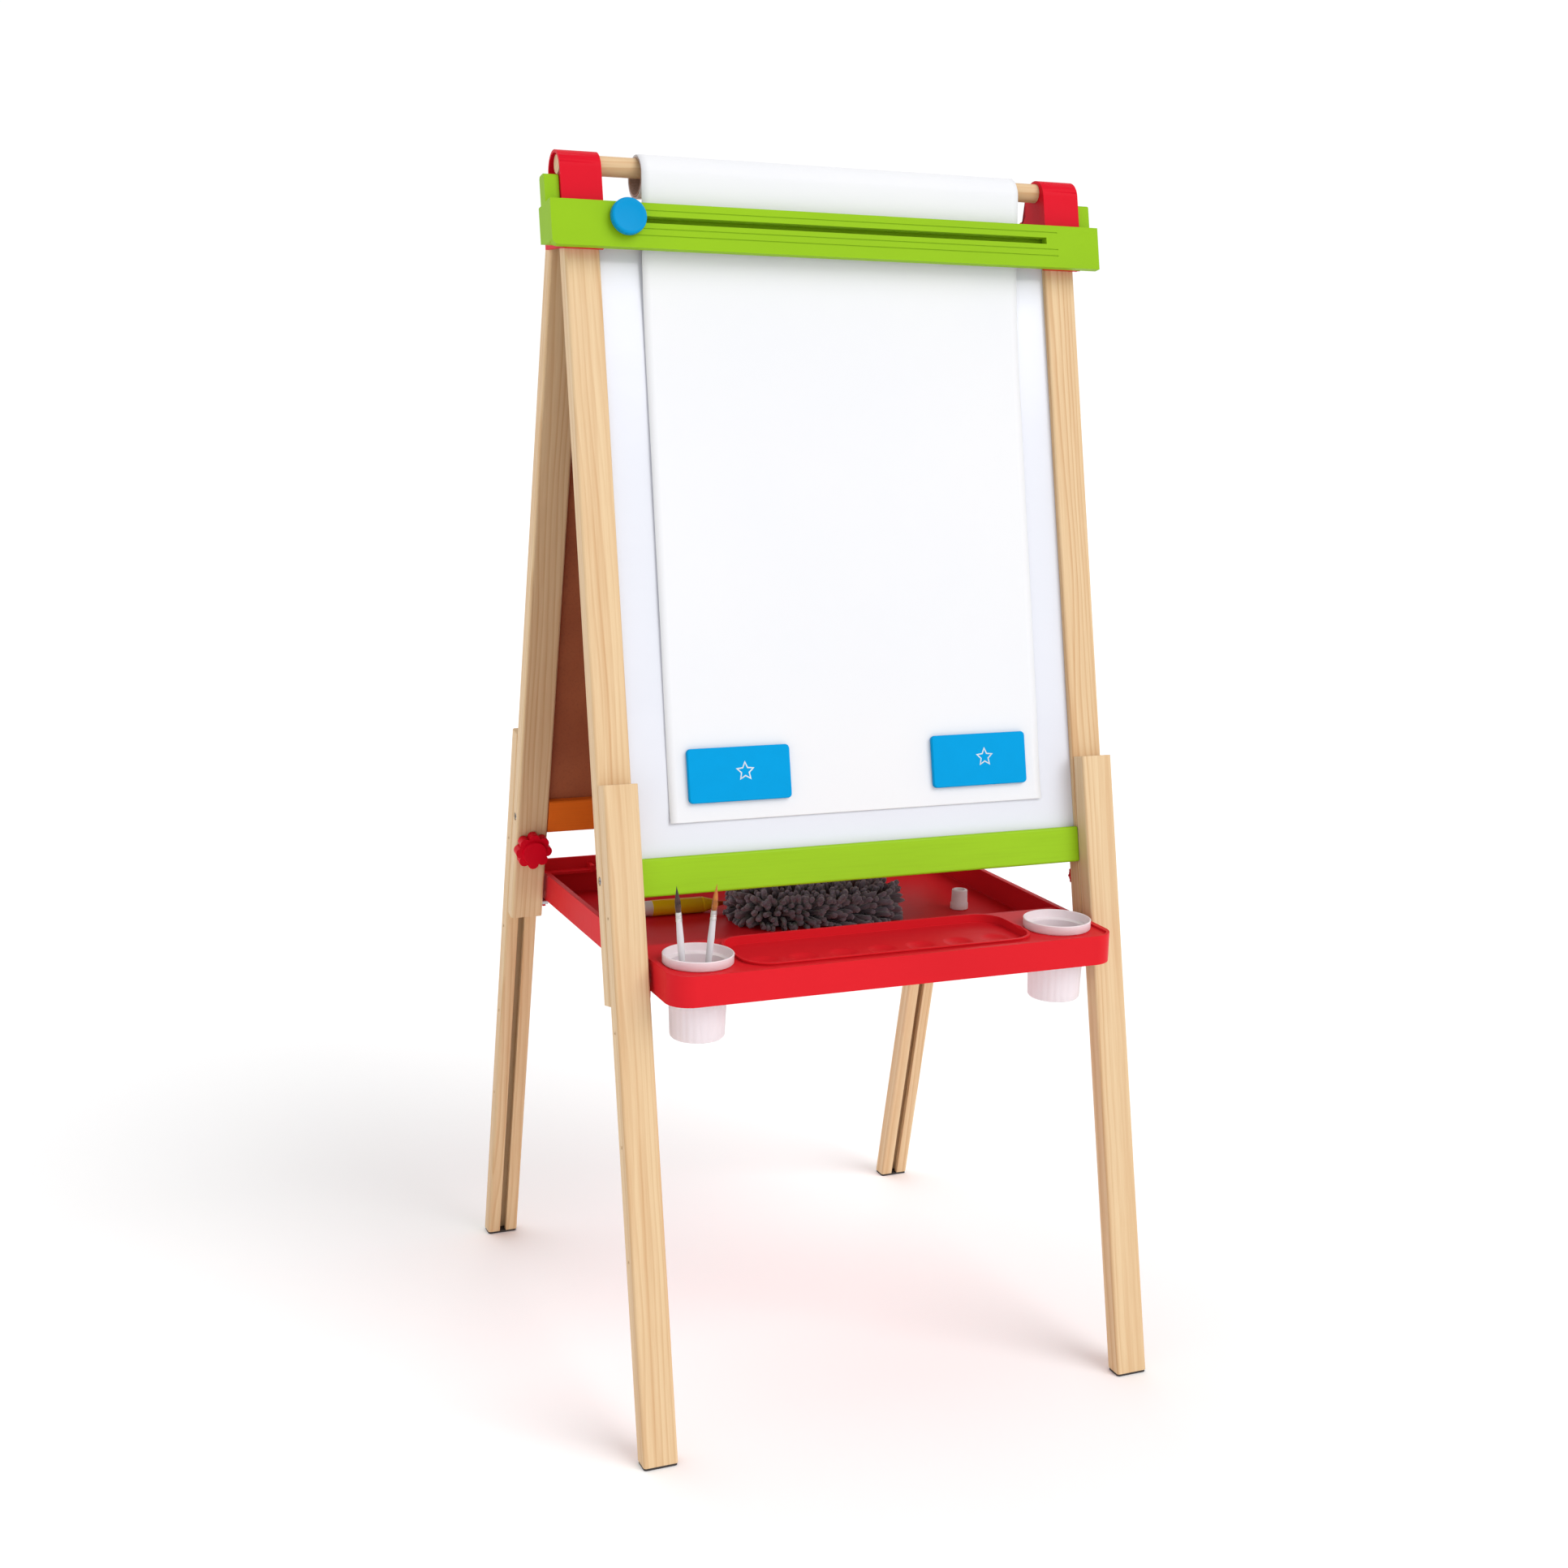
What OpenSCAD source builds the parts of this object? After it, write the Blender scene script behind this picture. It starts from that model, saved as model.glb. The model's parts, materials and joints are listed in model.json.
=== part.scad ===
// Double-sided children's standing easel: two hinged wooden frames, a whiteboard,
// a chalkboard, a paper roll with a sliding cutter, telescoping legs and a tool tray.
// Millimetres, +Z up, origin on the floor under the middle. The whiteboard faces -Y.

/* [A-frame] */
// Lean of each frame from the vertical, degrees
tilt = 12; // [8:0.5:14]
// Height at which the two inner faces would meet
apex_z = 1089; // [1000:1:1150]
// Gap from the middle plane to each inner face at that height
apex_gap = 2; // [1:0.5:4]
// Width over the legs
frame_w = 512; // [480:1:560]
// Width of a leg, seen from the front
leg_w = 32; // [28:1:38]
// Thickness of a leg
leg_t = 18; // [16:1:22]
// Length of an upper leg below the apex height
upper_len = 718; // [700:1:730]
// Rounding of the long wooden edges
edge_r = 2.5; // [1:0.5:4]

/* [Lower legs] */
// Distance from the apex to the top of a lower leg
lower_top = 524; // [500:1:560]
// Running gap between an upper and a lower leg
slide_gap = 0.3; // [0.2:0.1:1]
// Distance from the apex to the clamping bolt
bolt_at = 640; // [600:1:670]
// Spacing of the height marks
mark_step = 100; // [80:5:110]
// Number of height marks on a lower leg
marks = 4; // [2:1:4]
// Thickness of the rubber foot pads
pad_t = 2; // [1:0.5:4]

/* [Boards and rails] */
// Distance from the apex to the top of both top rails
top_rail_at = 30; // [28:1:34]
// Height of a top rail
top_rail_h = 22; // [20:1:24]
// Distance from the apex to the top of both lower rails
low_rail_at = 591; // [560:1:600]
// Height of a lower rail
low_rail_h = 34; // [28:1:40]
// Thickness of the white steel face
face_t = 0.8; // [0.5:0.1:1.2]
// Thickness of a hardboard panel
panel_t = 3.2; // [2.5:0.1:4]

/* [Hinge brackets] */
// Radius of the arch over the paper dowel, outside
arch_r = 17.7; // [17:0.1:20]
// Wall of the arch
arch_wall = 2.5; // [2:0.1:3]
// Radius of the hinge bolt
hinge_r = 3; // [2.5:0.5:4]

/* [Cutter rail] */
// Half length of the rail
rail_half = 273; // [268:1:285]
// Top and bottom of the rail, distance from the apex
rail_top = 17.3; // [16:0.1:20]
rail_bottom = 57; // [56:0.1:60]
// Distance from the apex to the cutter slot
slot_at = 32; // [30:1:36]
// Width of the cutter slot
slot_w = 6; // [5:0.5:8]
// Place of the cutter knob when parked, across the easel
cutter_x = -204.5; // [-206:0.5:-180]
// Travel of the cutter
cutter_travel = 417; // [300:1:417]

/* [Paper] */
// Radius of the dowel
dowel_r = 8.75; // [8:0.25:9]
// Width of the paper
paper_w = 378; // [300:1:381]
// Middle of the paper roll, across the easel
paper_x = 4; // [-10:1:10]
// Radius of the roll
roll_r = 19.2; // [18:0.1:19.4]

/* [Tray] */
// Width of the tray
tray_w = 441; // [430:1:441]
// Front edge of the tray
tray_front = -232; // [-236:1:-225]
// Rear edge of the tray
tray_back = 166.5; // [166.5:0.5:170]
// Height of the tray wall
tray_h = 28; // [24:1:32]
// Radius of the two front corners
tray_corner = 22; // [15:1:28]
// Place of a cup, sideways and front to back
cup_x = 181; // [179:1:182]
cup_y = -186; // [-188:1:-184]
// Radius of the collar round a cup's mouth
cup_collar_r = 32; // [31:0.5:32]

/* [Hidden] */

$fn = 64;
LEFT = -1;
RIGHT = 1;
eps = 0.1;                          // overshoot of a cut past the surface it opens
fit = 0.1;                          // gap between wooden parts that are glued or screwed

turn_fit = 0.06;                    // radial gap of a hole that turns on a bolt
screw_fit = 0.02;                   // radial gap of a hole that a bolt or screw is tight in

// Screws that hold wood and plastic together
screw_r = 2;
screw_len = 52;
screw_sink = 3;
head_clear = 0.2;                   // radial room round a sunk head
rail_mids = [top_rail_at + top_rail_h / 2, low_rail_at + low_rail_h / 2];

leg_x = frame_w / 2 - leg_w / 2;    // middle of a leg
leg_in = frame_w / 2 - leg_w;       // its inner side
leg_out = frame_w / 2;              // its outer side
mid_w = leg_t / 2;                  // middle of a leg's thickness

// Boards, counted outwards from a frame's inner face
panel_w = 8;
groove_depth = 6.2;
groove_w = [panel_w - fit, panel_w + panel_t + face_t + fit];
board_top = top_rail_at + top_rail_h - groove_depth;
board_bottom = low_rail_at + groove_depth;
low_rail_t = leg_t + 2;

// Leg clamps
lower_w = leg_t + slide_gap;        // inner face of a lower leg
bolt_r = 3;
head_side = 12;
head_t = 5;
slot_lip = 6;                       // wood over the bolt head's channel
slot_mouth = 2 * bolt_r + 0.6;
channel_side = head_side + 1;
channel_t = head_t + 0.7;
washer_r = 8;
washer_t = 1;
nut_base = washer_t + fit;          // a knob or thumb nut starts here, on its washer

// Star knobs of the back legs: radius, thickness, lobes, radius of a lobe, bolt inside
knob_r = 18.5;
knob_t = 13;
knob_lobes = 8;
lobe_r = 5.5;
knob_bolt = 9;

// Thumb nuts of the front legs, no wider than the leg
nut_r = 12;
nut_t = 9;
nut_ribs = 12;
nut_rib_r = 1.6;
nut_bolt = 6;

// Hinge, as a place in the world
hinge_w = mid_w;
hinge_u = 14;
hinge_y = apex_gap + hinge_w * cos(tilt) + hinge_u * sin(tilt);
hinge_z = apex_z + hinge_w * sin(tilt) - hinge_u * cos(tilt);

// Hinge brackets: the arch's middle, the two cheeks beside the leg, the sleeve in front of it
arch_w = 9.9;
arch_u = -14.8;
arch_foot = 4;                      // the arch's straight sides reach this far below its screws' face
cheek_gap = 0.3;
cheek_in = leg_in - cheek_gap;      // inner cheek's face towards the leg
cheek_out = leg_out + cheek_gap;
cheek_thin = 2.2;
cheek_thick = 3;
band_in = cheek_in - cheek_thin;
band_out = cheek_out + cheek_thick;
sleeve_w = arch_w + arch_r;         // front face of the sleeve and the arch
sleeve_bottom = 55;
cheek_bottom = 56;
cheek_back = 3.5;                   // the outer cheek's lower corner, behind the hinge bolt
front_leg_top = -3;
eye_r = 9;                          // round end of a cheek about the hinge bolt
crown_back = [-4, -6];              // top corners of both cheeks
crown_front = [sleeve_w - 2, -4];
cheek_front = sleeve_w - 3;
web_t = 3;
web_out = leg_x + 6;
web_x = [[band_in, cheek_in], [web_out, web_out + web_t]];
web_gap = 0.3;                      // daylight between a web and the leg's end
rail_screw_u = [27, 50];
rail_pad = 5;                       // plastic above and below the rail screws
bracket_screw_w = 5;
bracket_screw_u = 8;                // above the rail, which wraps round the bracket lower down
bracket_screw_len = 24;
hinge_nut_t = 4.5;

// Dowel, roll and sheet
dowel_w = 11.5;
dowel_u = -20.5;
dowel_half = 257;
dowel_fit = 0.25;
dowel_y = -apex_gap - dowel_w * cos(tilt) - dowel_u * sin(tilt);
dowel_z = apex_z + dowel_w * sin(tilt) - dowel_u * cos(tilt);
core_in = 15.9;
core_out = 17.1;
roll_drop = core_in - dowel_r - 0.1;
roll_z = dowel_z - roll_drop;
sheet_t = 0.4;
sheet_x = 3.5;
sheet_end = 562;
board_w = panel_w + panel_t + face_t + 0.3;  // inner side of a sheet that lies on the white face

// Cutter rail, counted outwards from the front frame's inner face
rail_face = 38;
rail_plate = 8;
rail_back = rail_face - rail_plate;
rail_boss = 27.7;                   // pads behind the plate, against the brackets
rail_corner = 5.5;
wrap_w = 3;                         // return of the rail's ends round the brackets
wrap_rise = 8;                      // its lower edge is cut away towards the back
ear_w = [10, 24];
ear_top = -8;
ear_low = 12;                       // overlap of an ear with the end of the rail
ear_corner = 3;
screw_hold = 4;                     // plastic between a screw's tip and the rail's face
tip_room = 1;                       // hole past the screw's tip
slot_x = [cutter_x - slot_w / 2 - 0.5, cutter_x + cutter_travel + slot_w / 2 + 0.5];
ridge = 0.6;
ridge_half = 0.5;
ridge_at = [slot_at - 8, slot_at + 8, slot_at + 14];

// Cutter: grip in front of the slot, shoe behind it, blade under the shoe
grip_r = 16;
grip_w = [rail_face + 0.6, rail_face + 8];
grip_edge = 1.5;
neck_gap = 0.3;                     // sideways play of the grip's neck in the slot
shoe_half = 5;
shoe_w = [rail_boss + 0.2, rail_back - 0.3];
shoe_u = [slot_at - 6, slot_at + 8];
holder_half = 5;
holder_w = shoe_w[0] - 2;
holder_u = [slot_at - 2, slot_at + 7];
blade_half = 4;
blade_w = [23.5, holder_w - screw_fit];
blade_u = [slot_at + 1.5, slot_at + 6.5];

// Channel behind the slot, open below for the blade
channel_wall = 1.3;
channel_back = [blade_w[0] + 0.8, holder_w - 0.3];
channel_u = [slot_at - 9, blade_u[0] - 0.5];
channel_x = [slot_x[0] - 2, slot_x[1] + 2];

// Tray supports
pin_r = 3;
pin_z = 400;
pin_u = (apex_z + mid_w * sin(tilt) - pin_z) / cos(tilt);
pin_y = apex_gap + mid_w * cos(tilt) + pin_u * sin(tilt);
pin_end = 216.5;
pin_gap = 0.05;                     // daylight between a pin and the tray
pin_depth = 19;                     // how far a pin is driven into its leg
tray_z = pin_z + pin_r + pin_gap;
tray_top = tray_z + tray_h;
wall = 3;
rim = 5.5;
shelf_drop = 2;                     // the front shelf lies below the wall's edge
shelf_z = tray_top - shelf_drop;
floor_z = tray_z + wall;
basin_front = -122;
cup_hole_r = 27.6;
recess_half = 142;
recess_y0 = -216;
recess_y1 = -130;
recess_r = 24;
recess_deep = 5;
recess_z = shelf_z - recess_deep;
recess_rim = 3;
lip_t = 1.3;                        // the rim's lip, and how far it stands out over its foot
lip_out = 1.4;
wells = 7;
well_r = 40;
well_deep = 3;
well_y = -183;
well_margin = 6;
well_base = 2;                      // plastic under a well
back_rise = 12;
gusset_x = 170;
lug = 5;
lug_drop = 9;

// Cups
cup_top_r = 27;
cup_low_r = 24.5;
cup_wall = 1.6;
cup_depth = 67;                     // below the shelf
cup_base_z = shelf_z - cup_depth;
cup_seat_z = shelf_z + fit;
cup_collar_h = 9;

// Brushes: foot and tip of each, standing in the left cup
brush_feet = [[-191, -188, 366], [-177.5, -186, 366]];
brush_tips = [[-204.5, -193, 502], [-166, -190, 500]];
bristle_len = 24;
handle_r = 3.2;
ferrule_r = 2.7;

// Loose pieces
magnet_size = [99, 49, 5];
magnet_corner = 4;
magnet_x = [-121, 123];
magnet_u = 521;
duster_size = [178, 96, 38];
duster_at = [10, -4];
duster_turn = -12;
marker_at = [-153, 49];
marker_r = 8;
marker_turn = -3;
marker_barrel = 66;
marker_shoulder = 14;
marker_tip = 10;
marker_tip_r = 3;
stopper_at = [165, -21];
stopper_h = 20;
stopper_r = [9, 8];                 // foot and top
loose_gap = 0.2;                    // daylight under a loose piece

// ---------- placing ----------

// Frame space of the front frame: x across, -y outwards, -z down the leg
module in_front() { translate([0, -apex_gap, apex_z]) rotate([-tilt, 0, 0]) children(); }
module in_back() { mirror([0, 1, 0]) in_front() children(); }

// A block in frame space, from low to high in x, w (outwards) and u (down the leg)
module block(x, w, u) {
    translate([x[0], -w[1], -u[1]]) cube([x[1] - x[0], w[1] - w[0], u[1] - u[0]]);
}

// A round bar in frame space, outwards from w[0] to w[1]
module bar_w(x, u, r, w) {
    translate([x, -w[0], -u]) rotate([90, 0, 0]) cylinder(h = w[1] - w[0], r = r);
}

// A round bar in frame space, along x
module bar_x(w, u, r, x) {
    translate([x[0], -w, -u]) rotate([0, 90, 0]) cylinder(h = x[1] - x[0], r = r);
}

module both_sides() { children(); mirror([1, 0, 0]) children(); }
module on_side(side) { if (side == LEFT) mirror([1, 0, 0]) children(); else children(); }

// Rectangle with round corners, built from squares and circles
module soft_rect(x, y, r) {
    translate([x[0] + r, y[0]]) square([x[1] - x[0] - 2 * r, y[1] - y[0]]);
    translate([x[0], y[0] + r]) square([x[1] - x[0], y[1] - y[0] - 2 * r]);
    for (cx = [x[0] + r, x[1] - r], cy = [y[0] + r, y[1] - r]) translate([cx, cy]) circle(r);
}

// A stick of wood with round long edges, in frame space along u
module stick_u(x, w, u) {
    translate([0, 0, -u[1]]) linear_extrude(u[1] - u[0]) soft_rect(x, [-w[1], -w[0]], edge_r);
}

// A stick of wood with round long edges, in frame space along x
module stick_x(x, w, u) {
    translate([x[0], 0, 0]) rotate([90, 0, 90]) linear_extrude(x[1] - x[0])
        soft_rect([-w[1], -w[0]], [-u[1], -u[0]], edge_r);
}

// Pan-head screw with a cross recess: head on z = 0, shank towards -z
module screw(r, length) {
    head_r = 2 * r;
    head_h = 1.2 * r;
    recess = [1.6 * head_r, 0.3 * head_r, head_h];
    difference() {
        union() {
            translate([0, 0, -length]) cylinder(h = length + eps, r = r);
            cylinder(h = head_h, r1 = head_r, r2 = 0.75 * head_r);
        }
        for (a = [0, 90]) rotate(a) translate([-recess[0] / 2, -recess[1] / 2, head_h / 2]) cube(recess);
    }
}

// ---------- wooden frames ----------

module frame_screw_holes() {
    for (u = rail_mids) {
        bar_x(mid_w, u, screw_r + fit, [leg_out - screw_len - 1, leg_out + eps]);
        bar_x(mid_w, u, 2 * screw_r + head_clear, [leg_out - screw_sink, leg_out + eps]);
    }
}

module frame_screws() {
    both_sides() for (u = rail_mids)
        translate([leg_out - screw_sink, -mid_w, -u]) rotate([0, 90, 0])
            screw(screw_r, screw_len - screw_sink);
}

module upper_leg(top) {
    difference() {
        stick_u([leg_in, leg_out], [0, leg_t], [top, upper_len]);
        block([leg_in - eps, leg_in + groove_depth], groove_w, [board_top - 1, board_bottom + 1]);
        bar_w(leg_x, bolt_at, bolt_r + fit, [-eps, leg_t + eps]);
        bar_x(mid_w, pin_u, pin_r, [leg_in - eps, leg_in + pin_depth + 1]);
        frame_screw_holes();
    }
}

module front_leg(side) {
    color("burlywood") on_side(side) in_front() difference() {
        upper_leg(front_leg_top);
        rail_screw_places() bar_w(0, 0, screw_r + fit, [-eps, leg_t + eps]);
        bracket_screw_places() bar_x(0, 0, screw_r + fit, [band_out - bracket_screw_len - 1, leg_out + eps]);
    }
}

module back_leg(side) {
    color("burlywood") on_side(side) in_back() difference() {
        union() {
            upper_leg(hinge_u);
            bar_x(hinge_w, hinge_u, leg_t / 2, [leg_in, leg_out]);
        }
        bar_x(hinge_w, hinge_u, hinge_r + turn_fit, [leg_in - eps, leg_out + eps]);
    }
}

module top_rail() {
    difference() {
        stick_x([-leg_in + fit, leg_in - fit], [0, leg_t], [top_rail_at, top_rail_at + top_rail_h]);
        block([-leg_in, leg_in], groove_w, [board_top - fit, board_top + 2 * groove_depth]);
        both_sides() frame_screw_holes();
    }
}

module lower_rail() {
    difference() {
        stick_x([-leg_in + fit, leg_in - fit], [0, low_rail_t], [low_rail_at, low_rail_at + low_rail_h]);
        block([-leg_in, leg_in], groove_w, [board_bottom - 2 * groove_depth, board_bottom + fit]);
        both_sides() frame_screw_holes();
    }
}

module panel(w) {
    half = leg_in + groove_depth - 2 * fit;
    block([-half, half], w, [board_top, board_bottom]);
}

module front_top_rail() { color("burlywood") in_front() top_rail(); }
module back_top_rail() { color("burlywood") in_back() top_rail(); }
module front_lower_rail() { color("yellowgreen") in_front() lower_rail(); }
module back_lower_rail() { color("darkorange") in_back() lower_rail(); }
module whiteboard_backing() { color("sienna") in_front() panel([panel_w, panel_w + panel_t]); }
module whiteboard_face() {
    color("white") in_front() panel([panel_w + panel_t, panel_w + panel_t + face_t]);
}
module chalkboard() { color("darkslategray") in_back() panel([panel_w, panel_w + panel_t + face_t]); }
module front_frame_screws() { color("silver") in_front() frame_screws(); }
module back_frame_screws() { color("silver") in_back() frame_screws(); }

// ---------- telescoping legs ----------

module lower_leg() {
    channel_w = lower_w + slot_lip;
    past_floor = 20;
    foot_u = apex_z / cos(tilt) + past_floor;
    mark_r = 1.5;
    mark_deep = 2;
    difference() {
        stick_u([leg_in, leg_out], [lower_w, lower_w + leg_t], [lower_top, foot_u]);
        bar_w(leg_x, bolt_at, slot_mouth / 2, [lower_w - eps, channel_w + eps]);
        block([leg_x - slot_mouth / 2, leg_x + slot_mouth / 2], [lower_w - eps, channel_w + eps],
              [bolt_at, foot_u + eps]);
        block([leg_x - channel_side / 2, leg_x + channel_side / 2], [channel_w, channel_w + channel_t],
              [bolt_at - channel_side / 2, foot_u + eps]);
        for (k = [0:marks - 1])
            bar_x(lower_w + mid_w, bolt_at + k * mark_step, mark_r, [leg_out - mark_deep, leg_out + eps]);
    }
}

floor_cut = 400;                    // side of the block that trims the feet level
module above(z) {
    difference() {
        children();
        translate([-floor_cut, -floor_cut, z - floor_cut]) cube([2 * floor_cut, 2 * floor_cut, floor_cut]);
    }
}

module lower_leg_front(side) { color("burlywood") above(pad_t) on_side(side) in_front() lower_leg(); }
module lower_leg_back(side) { color("burlywood") above(pad_t) on_side(side) in_back() lower_leg(); }

// Rubber pad under a foot: the leg's own outline on the floor
module foot_pad() {
    foot_y = apex_gap + (apex_z - pad_t) * tan(tilt);
    inner = foot_y + lower_w / cos(tilt);
    outer = foot_y + (lower_w + leg_t) / cos(tilt);
    inset = 0.5;
    color("dimgray") linear_extrude(pad_t)
        soft_rect([leg_in + inset, leg_out - inset], [inner + inset, outer - inset], edge_r);
}

module foot_pad_at(side, back) {
    on_side(side) if (back) foot_pad(); else mirror([0, 1, 0]) foot_pad();
}

// Bolt with a square head in the lower leg's channel and its tip in the knob or nut
module leg_bolt(tip) {
    head_w = lower_w + slot_lip + 2 * fit;
    bar_w(leg_x, bolt_at, bolt_r, [-tip, head_w + eps]);
    block([leg_x - head_side / 2, leg_x + head_side / 2], [head_w, head_w + head_t],
          [bolt_at - head_side / 2, bolt_at + head_side / 2]);
}

module washer() {
    difference() {
        bar_w(leg_x, bolt_at, washer_r, [-washer_t, 0]);
        bar_w(leg_x, bolt_at, bolt_r + fit, [-washer_t - eps, eps]);
    }
}

// A place on a leg's inner face where the clamp sits on its washer
module at_clamp() { translate([leg_x, nut_base, -bolt_at]) rotate([-90, 0, 0]) children(); }

module clamp_bore(tip) { translate([0, 0, -eps]) cylinder(h = tip - nut_base + 1, r = bolt_r + turn_fit); }

module star_knob() {
    root_r = knob_r - 4;
    cap_r = knob_r - 7;
    cap_h = 3;
    color("crimson") at_clamp() difference() {
        union() {
            linear_extrude(knob_t - cap_h) {
                circle(root_r);
                for (k = [0:knob_lobes - 1]) rotate(k * 360 / knob_lobes)
                    translate([knob_r - lobe_r, 0]) circle(lobe_r);
            }
            cylinder(h = knob_t, r1 = root_r, r2 = cap_r);
        }
        clamp_bore(knob_bolt);
    }
}

module thumb_nut() {
    color("crimson") at_clamp() difference() {
        linear_extrude(nut_t) {
            circle(nut_r - nut_rib_r / 2);
            for (k = [0:nut_ribs - 1]) rotate(k * 360 / nut_ribs)
                translate([nut_r - nut_rib_r, 0]) circle(nut_rib_r);
        }
        clamp_bore(nut_bolt);
    }
}

module front_leg_bolts() { color("silver") both_sides() in_front() leg_bolt(nut_bolt); }
module back_leg_bolts() { color("silver") both_sides() in_back() leg_bolt(knob_bolt); }
module front_washers() { color("silver") both_sides() in_front() washer(); }
module back_washers() { color("silver") both_sides() in_back() washer(); }
module knob_front(side) { on_side(side) in_front() thumb_nut(); }
module knob_back(side) { on_side(side) in_back() star_knob(); }

// ---------- hinge brackets ----------

module rail_screw_places() { for (u = rail_screw_u) translate([leg_x, 0, -u]) children(); }
module bracket_screw_places() { translate([0, -bracket_screw_w, -bracket_screw_u]) children(); }

// A place in the front frame's space as [y, z] in the world
function in_world(w, u) =
    [-(apex_gap + w * cos(tilt) + u * sin(tilt)), apex_z + w * sin(tilt) - u * cos(tilt)];

// Corners of a cheek round the hinge eye and over the top of the leg
function cheek_crown() = [
    [hinge_y + eye_r, hinge_z], [hinge_y, hinge_z + eye_r], in_world(crown_back[0], crown_back[1]),
    in_world(crown_front[0], crown_front[1])];

// Cheek outline on the inner side: arch foot, front leg top and the hinge eye
module small_cheek() {
    polygon(concat([in_world(crown_front[0], 2 * hinge_u), [hinge_y, hinge_z - eye_r]], cheek_crown()));
    translate([hinge_y, hinge_z]) circle(eye_r);
}

// Cheek outline on the outer side, down to the bracket's lower edge and back over the rear leg
module large_cheek() {
    low = in_world(cheek_front, cheek_bottom);
    polygon(concat([low, [hinge_y + cheek_back, low[1]]], cheek_crown()));
    translate([hinge_y, hinge_z]) circle(eye_r);
}

// An outline in y and z, extruded along x
module along_x(x) { translate([x[0], 0, 0]) rotate([90, 0, 90]) linear_extrude(x[1] - x[0]) children(); }

module arch_outline(r) {
    translate([-arch_w, -arch_u]) circle(r);
    translate([-arch_w - r, -arch_foot]) square([2 * r, arch_foot - arch_u]);
}

module arch_profile() {
    difference() {
        arch_outline(arch_r);
        arch_outline(arch_r - arch_wall);
    }
}

// Web that carries the dowel: it closes the arch above the leg's end
module web_profile() {
    low = web_gap - front_leg_top;
    intersection() {
        arch_outline(arch_r - eps);
        translate([-sleeve_w, low]) square([2 * arch_r, 2 * arch_r]);
    }
}

module hinge_bracket(side) {
    color("red") on_side(side) difference() {
        union() {
            in_front() {
                along_x([band_in, band_out]) arch_profile();
                for (x = web_x) along_x(x) web_profile();
                block([band_in, band_out], [leg_t + fit, sleeve_w], [-2, sleeve_bottom]);
            }
            along_x([band_in, cheek_in]) small_cheek();
            along_x([cheek_out, band_out]) large_cheek();
        }
        in_front() {
            bar_x(dowel_w, dowel_u, dowel_r + dowel_fit, [band_in - eps, web_x[1][1] + eps]);
            rail_screw_places() bar_w(0, 0, screw_r + fit, [leg_t, sleeve_w + eps]);
            bracket_screw_places() bar_x(0, 0, screw_r + fit, [cheek_out - eps, band_out + eps]);
        }
        translate([band_in - eps, hinge_y, hinge_z]) rotate([0, 90, 0])
            cylinder(h = band_out - band_in + 2 * eps, r = hinge_r + screw_fit);
    }
}

module hinge_bolts() {
    tip = 0.5;
    head_h = 3;
    start = band_in - hinge_nut_t - tip;
    color("silver") both_sides() translate([start, hinge_y, hinge_z]) rotate([0, 90, 0]) {
        cylinder(h = band_out - start, r = hinge_r);
        translate([0, 0, band_out - start]) cylinder(h = head_h, r1 = 2 * hinge_r, r2 = 1.5 * hinge_r);
    }
}

module hinge_nuts() {
    corner_r = 5.8;
    color("silver") both_sides() translate([band_in - hinge_nut_t, hinge_y, hinge_z]) rotate([0, 90, 0])
        difference() {
            cylinder(h = hinge_nut_t, r = corner_r, $fn = 6);
            translate([0, 0, -eps]) cylinder(h = hinge_nut_t + 2 * eps, r = hinge_r + screw_fit);
        }
}

module bracket_screws() {
    color("silver") both_sides() in_front() bracket_screw_places()
        translate([band_out, 0, 0]) rotate([0, 90, 0]) screw(screw_r, bracket_screw_len);
}

module rail_screws() {
    color("silver") both_sides() in_front() rail_screw_places()
        rotate([-90, 0, 0]) screw(screw_r, rail_face - screw_hold);
}

// ---------- cutter rail ----------

// Front outline of the rail: only the lower left corner is round
module rail_outline() {
    middle = (rail_top + rail_bottom) / 2;
    soft_rect([-rail_half, rail_half], [-rail_bottom, -rail_top], rail_corner);
    translate([0, -rail_bottom]) square([rail_half, rail_bottom - rail_top]);
    translate([-rail_half, -middle]) square([rail_half, middle - rail_top]);
}

// Plate of the rail, with the pads that screw to the brackets
module rail_body() {
    translate([0, -rail_back, 0]) rotate([90, 0, 0]) linear_extrude(rail_plate) rail_outline();
    both_sides() block([leg_in, leg_out], [rail_boss, rail_back + eps],
                       [rail_screw_u[0] - rail_pad, rail_screw_u[1] + rail_pad]);
}

// Channel that hides the works behind the slot and keeps paper away from the slider
module rail_channel() {
    outer = [channel_x[0] - channel_wall, channel_x[1] + channel_wall];
    difference() {
        block(outer, [channel_back[0], rail_back + eps], channel_u);
        block(channel_x, [channel_back[1], rail_back + 2 * eps], [channel_u[0] + channel_wall, rail_bottom]);
    }
}

// End of the rail: it wraps back round the bracket and rises into an ear
module rail_end() {
    inner = band_out + 0.5;
    along_x([inner, rail_half]) {
        polygon([[-rail_back - eps, -rail_top], [-wrap_w, -rail_top],
                 [-wrap_w, wrap_rise - rail_bottom], [-rail_back - eps, rail_corner / 2 - rail_bottom]]);
        soft_rect([-ear_w[1], -ear_w[0]], [-rail_top - ear_low, -ear_top], ear_corner);
    }
}

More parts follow.
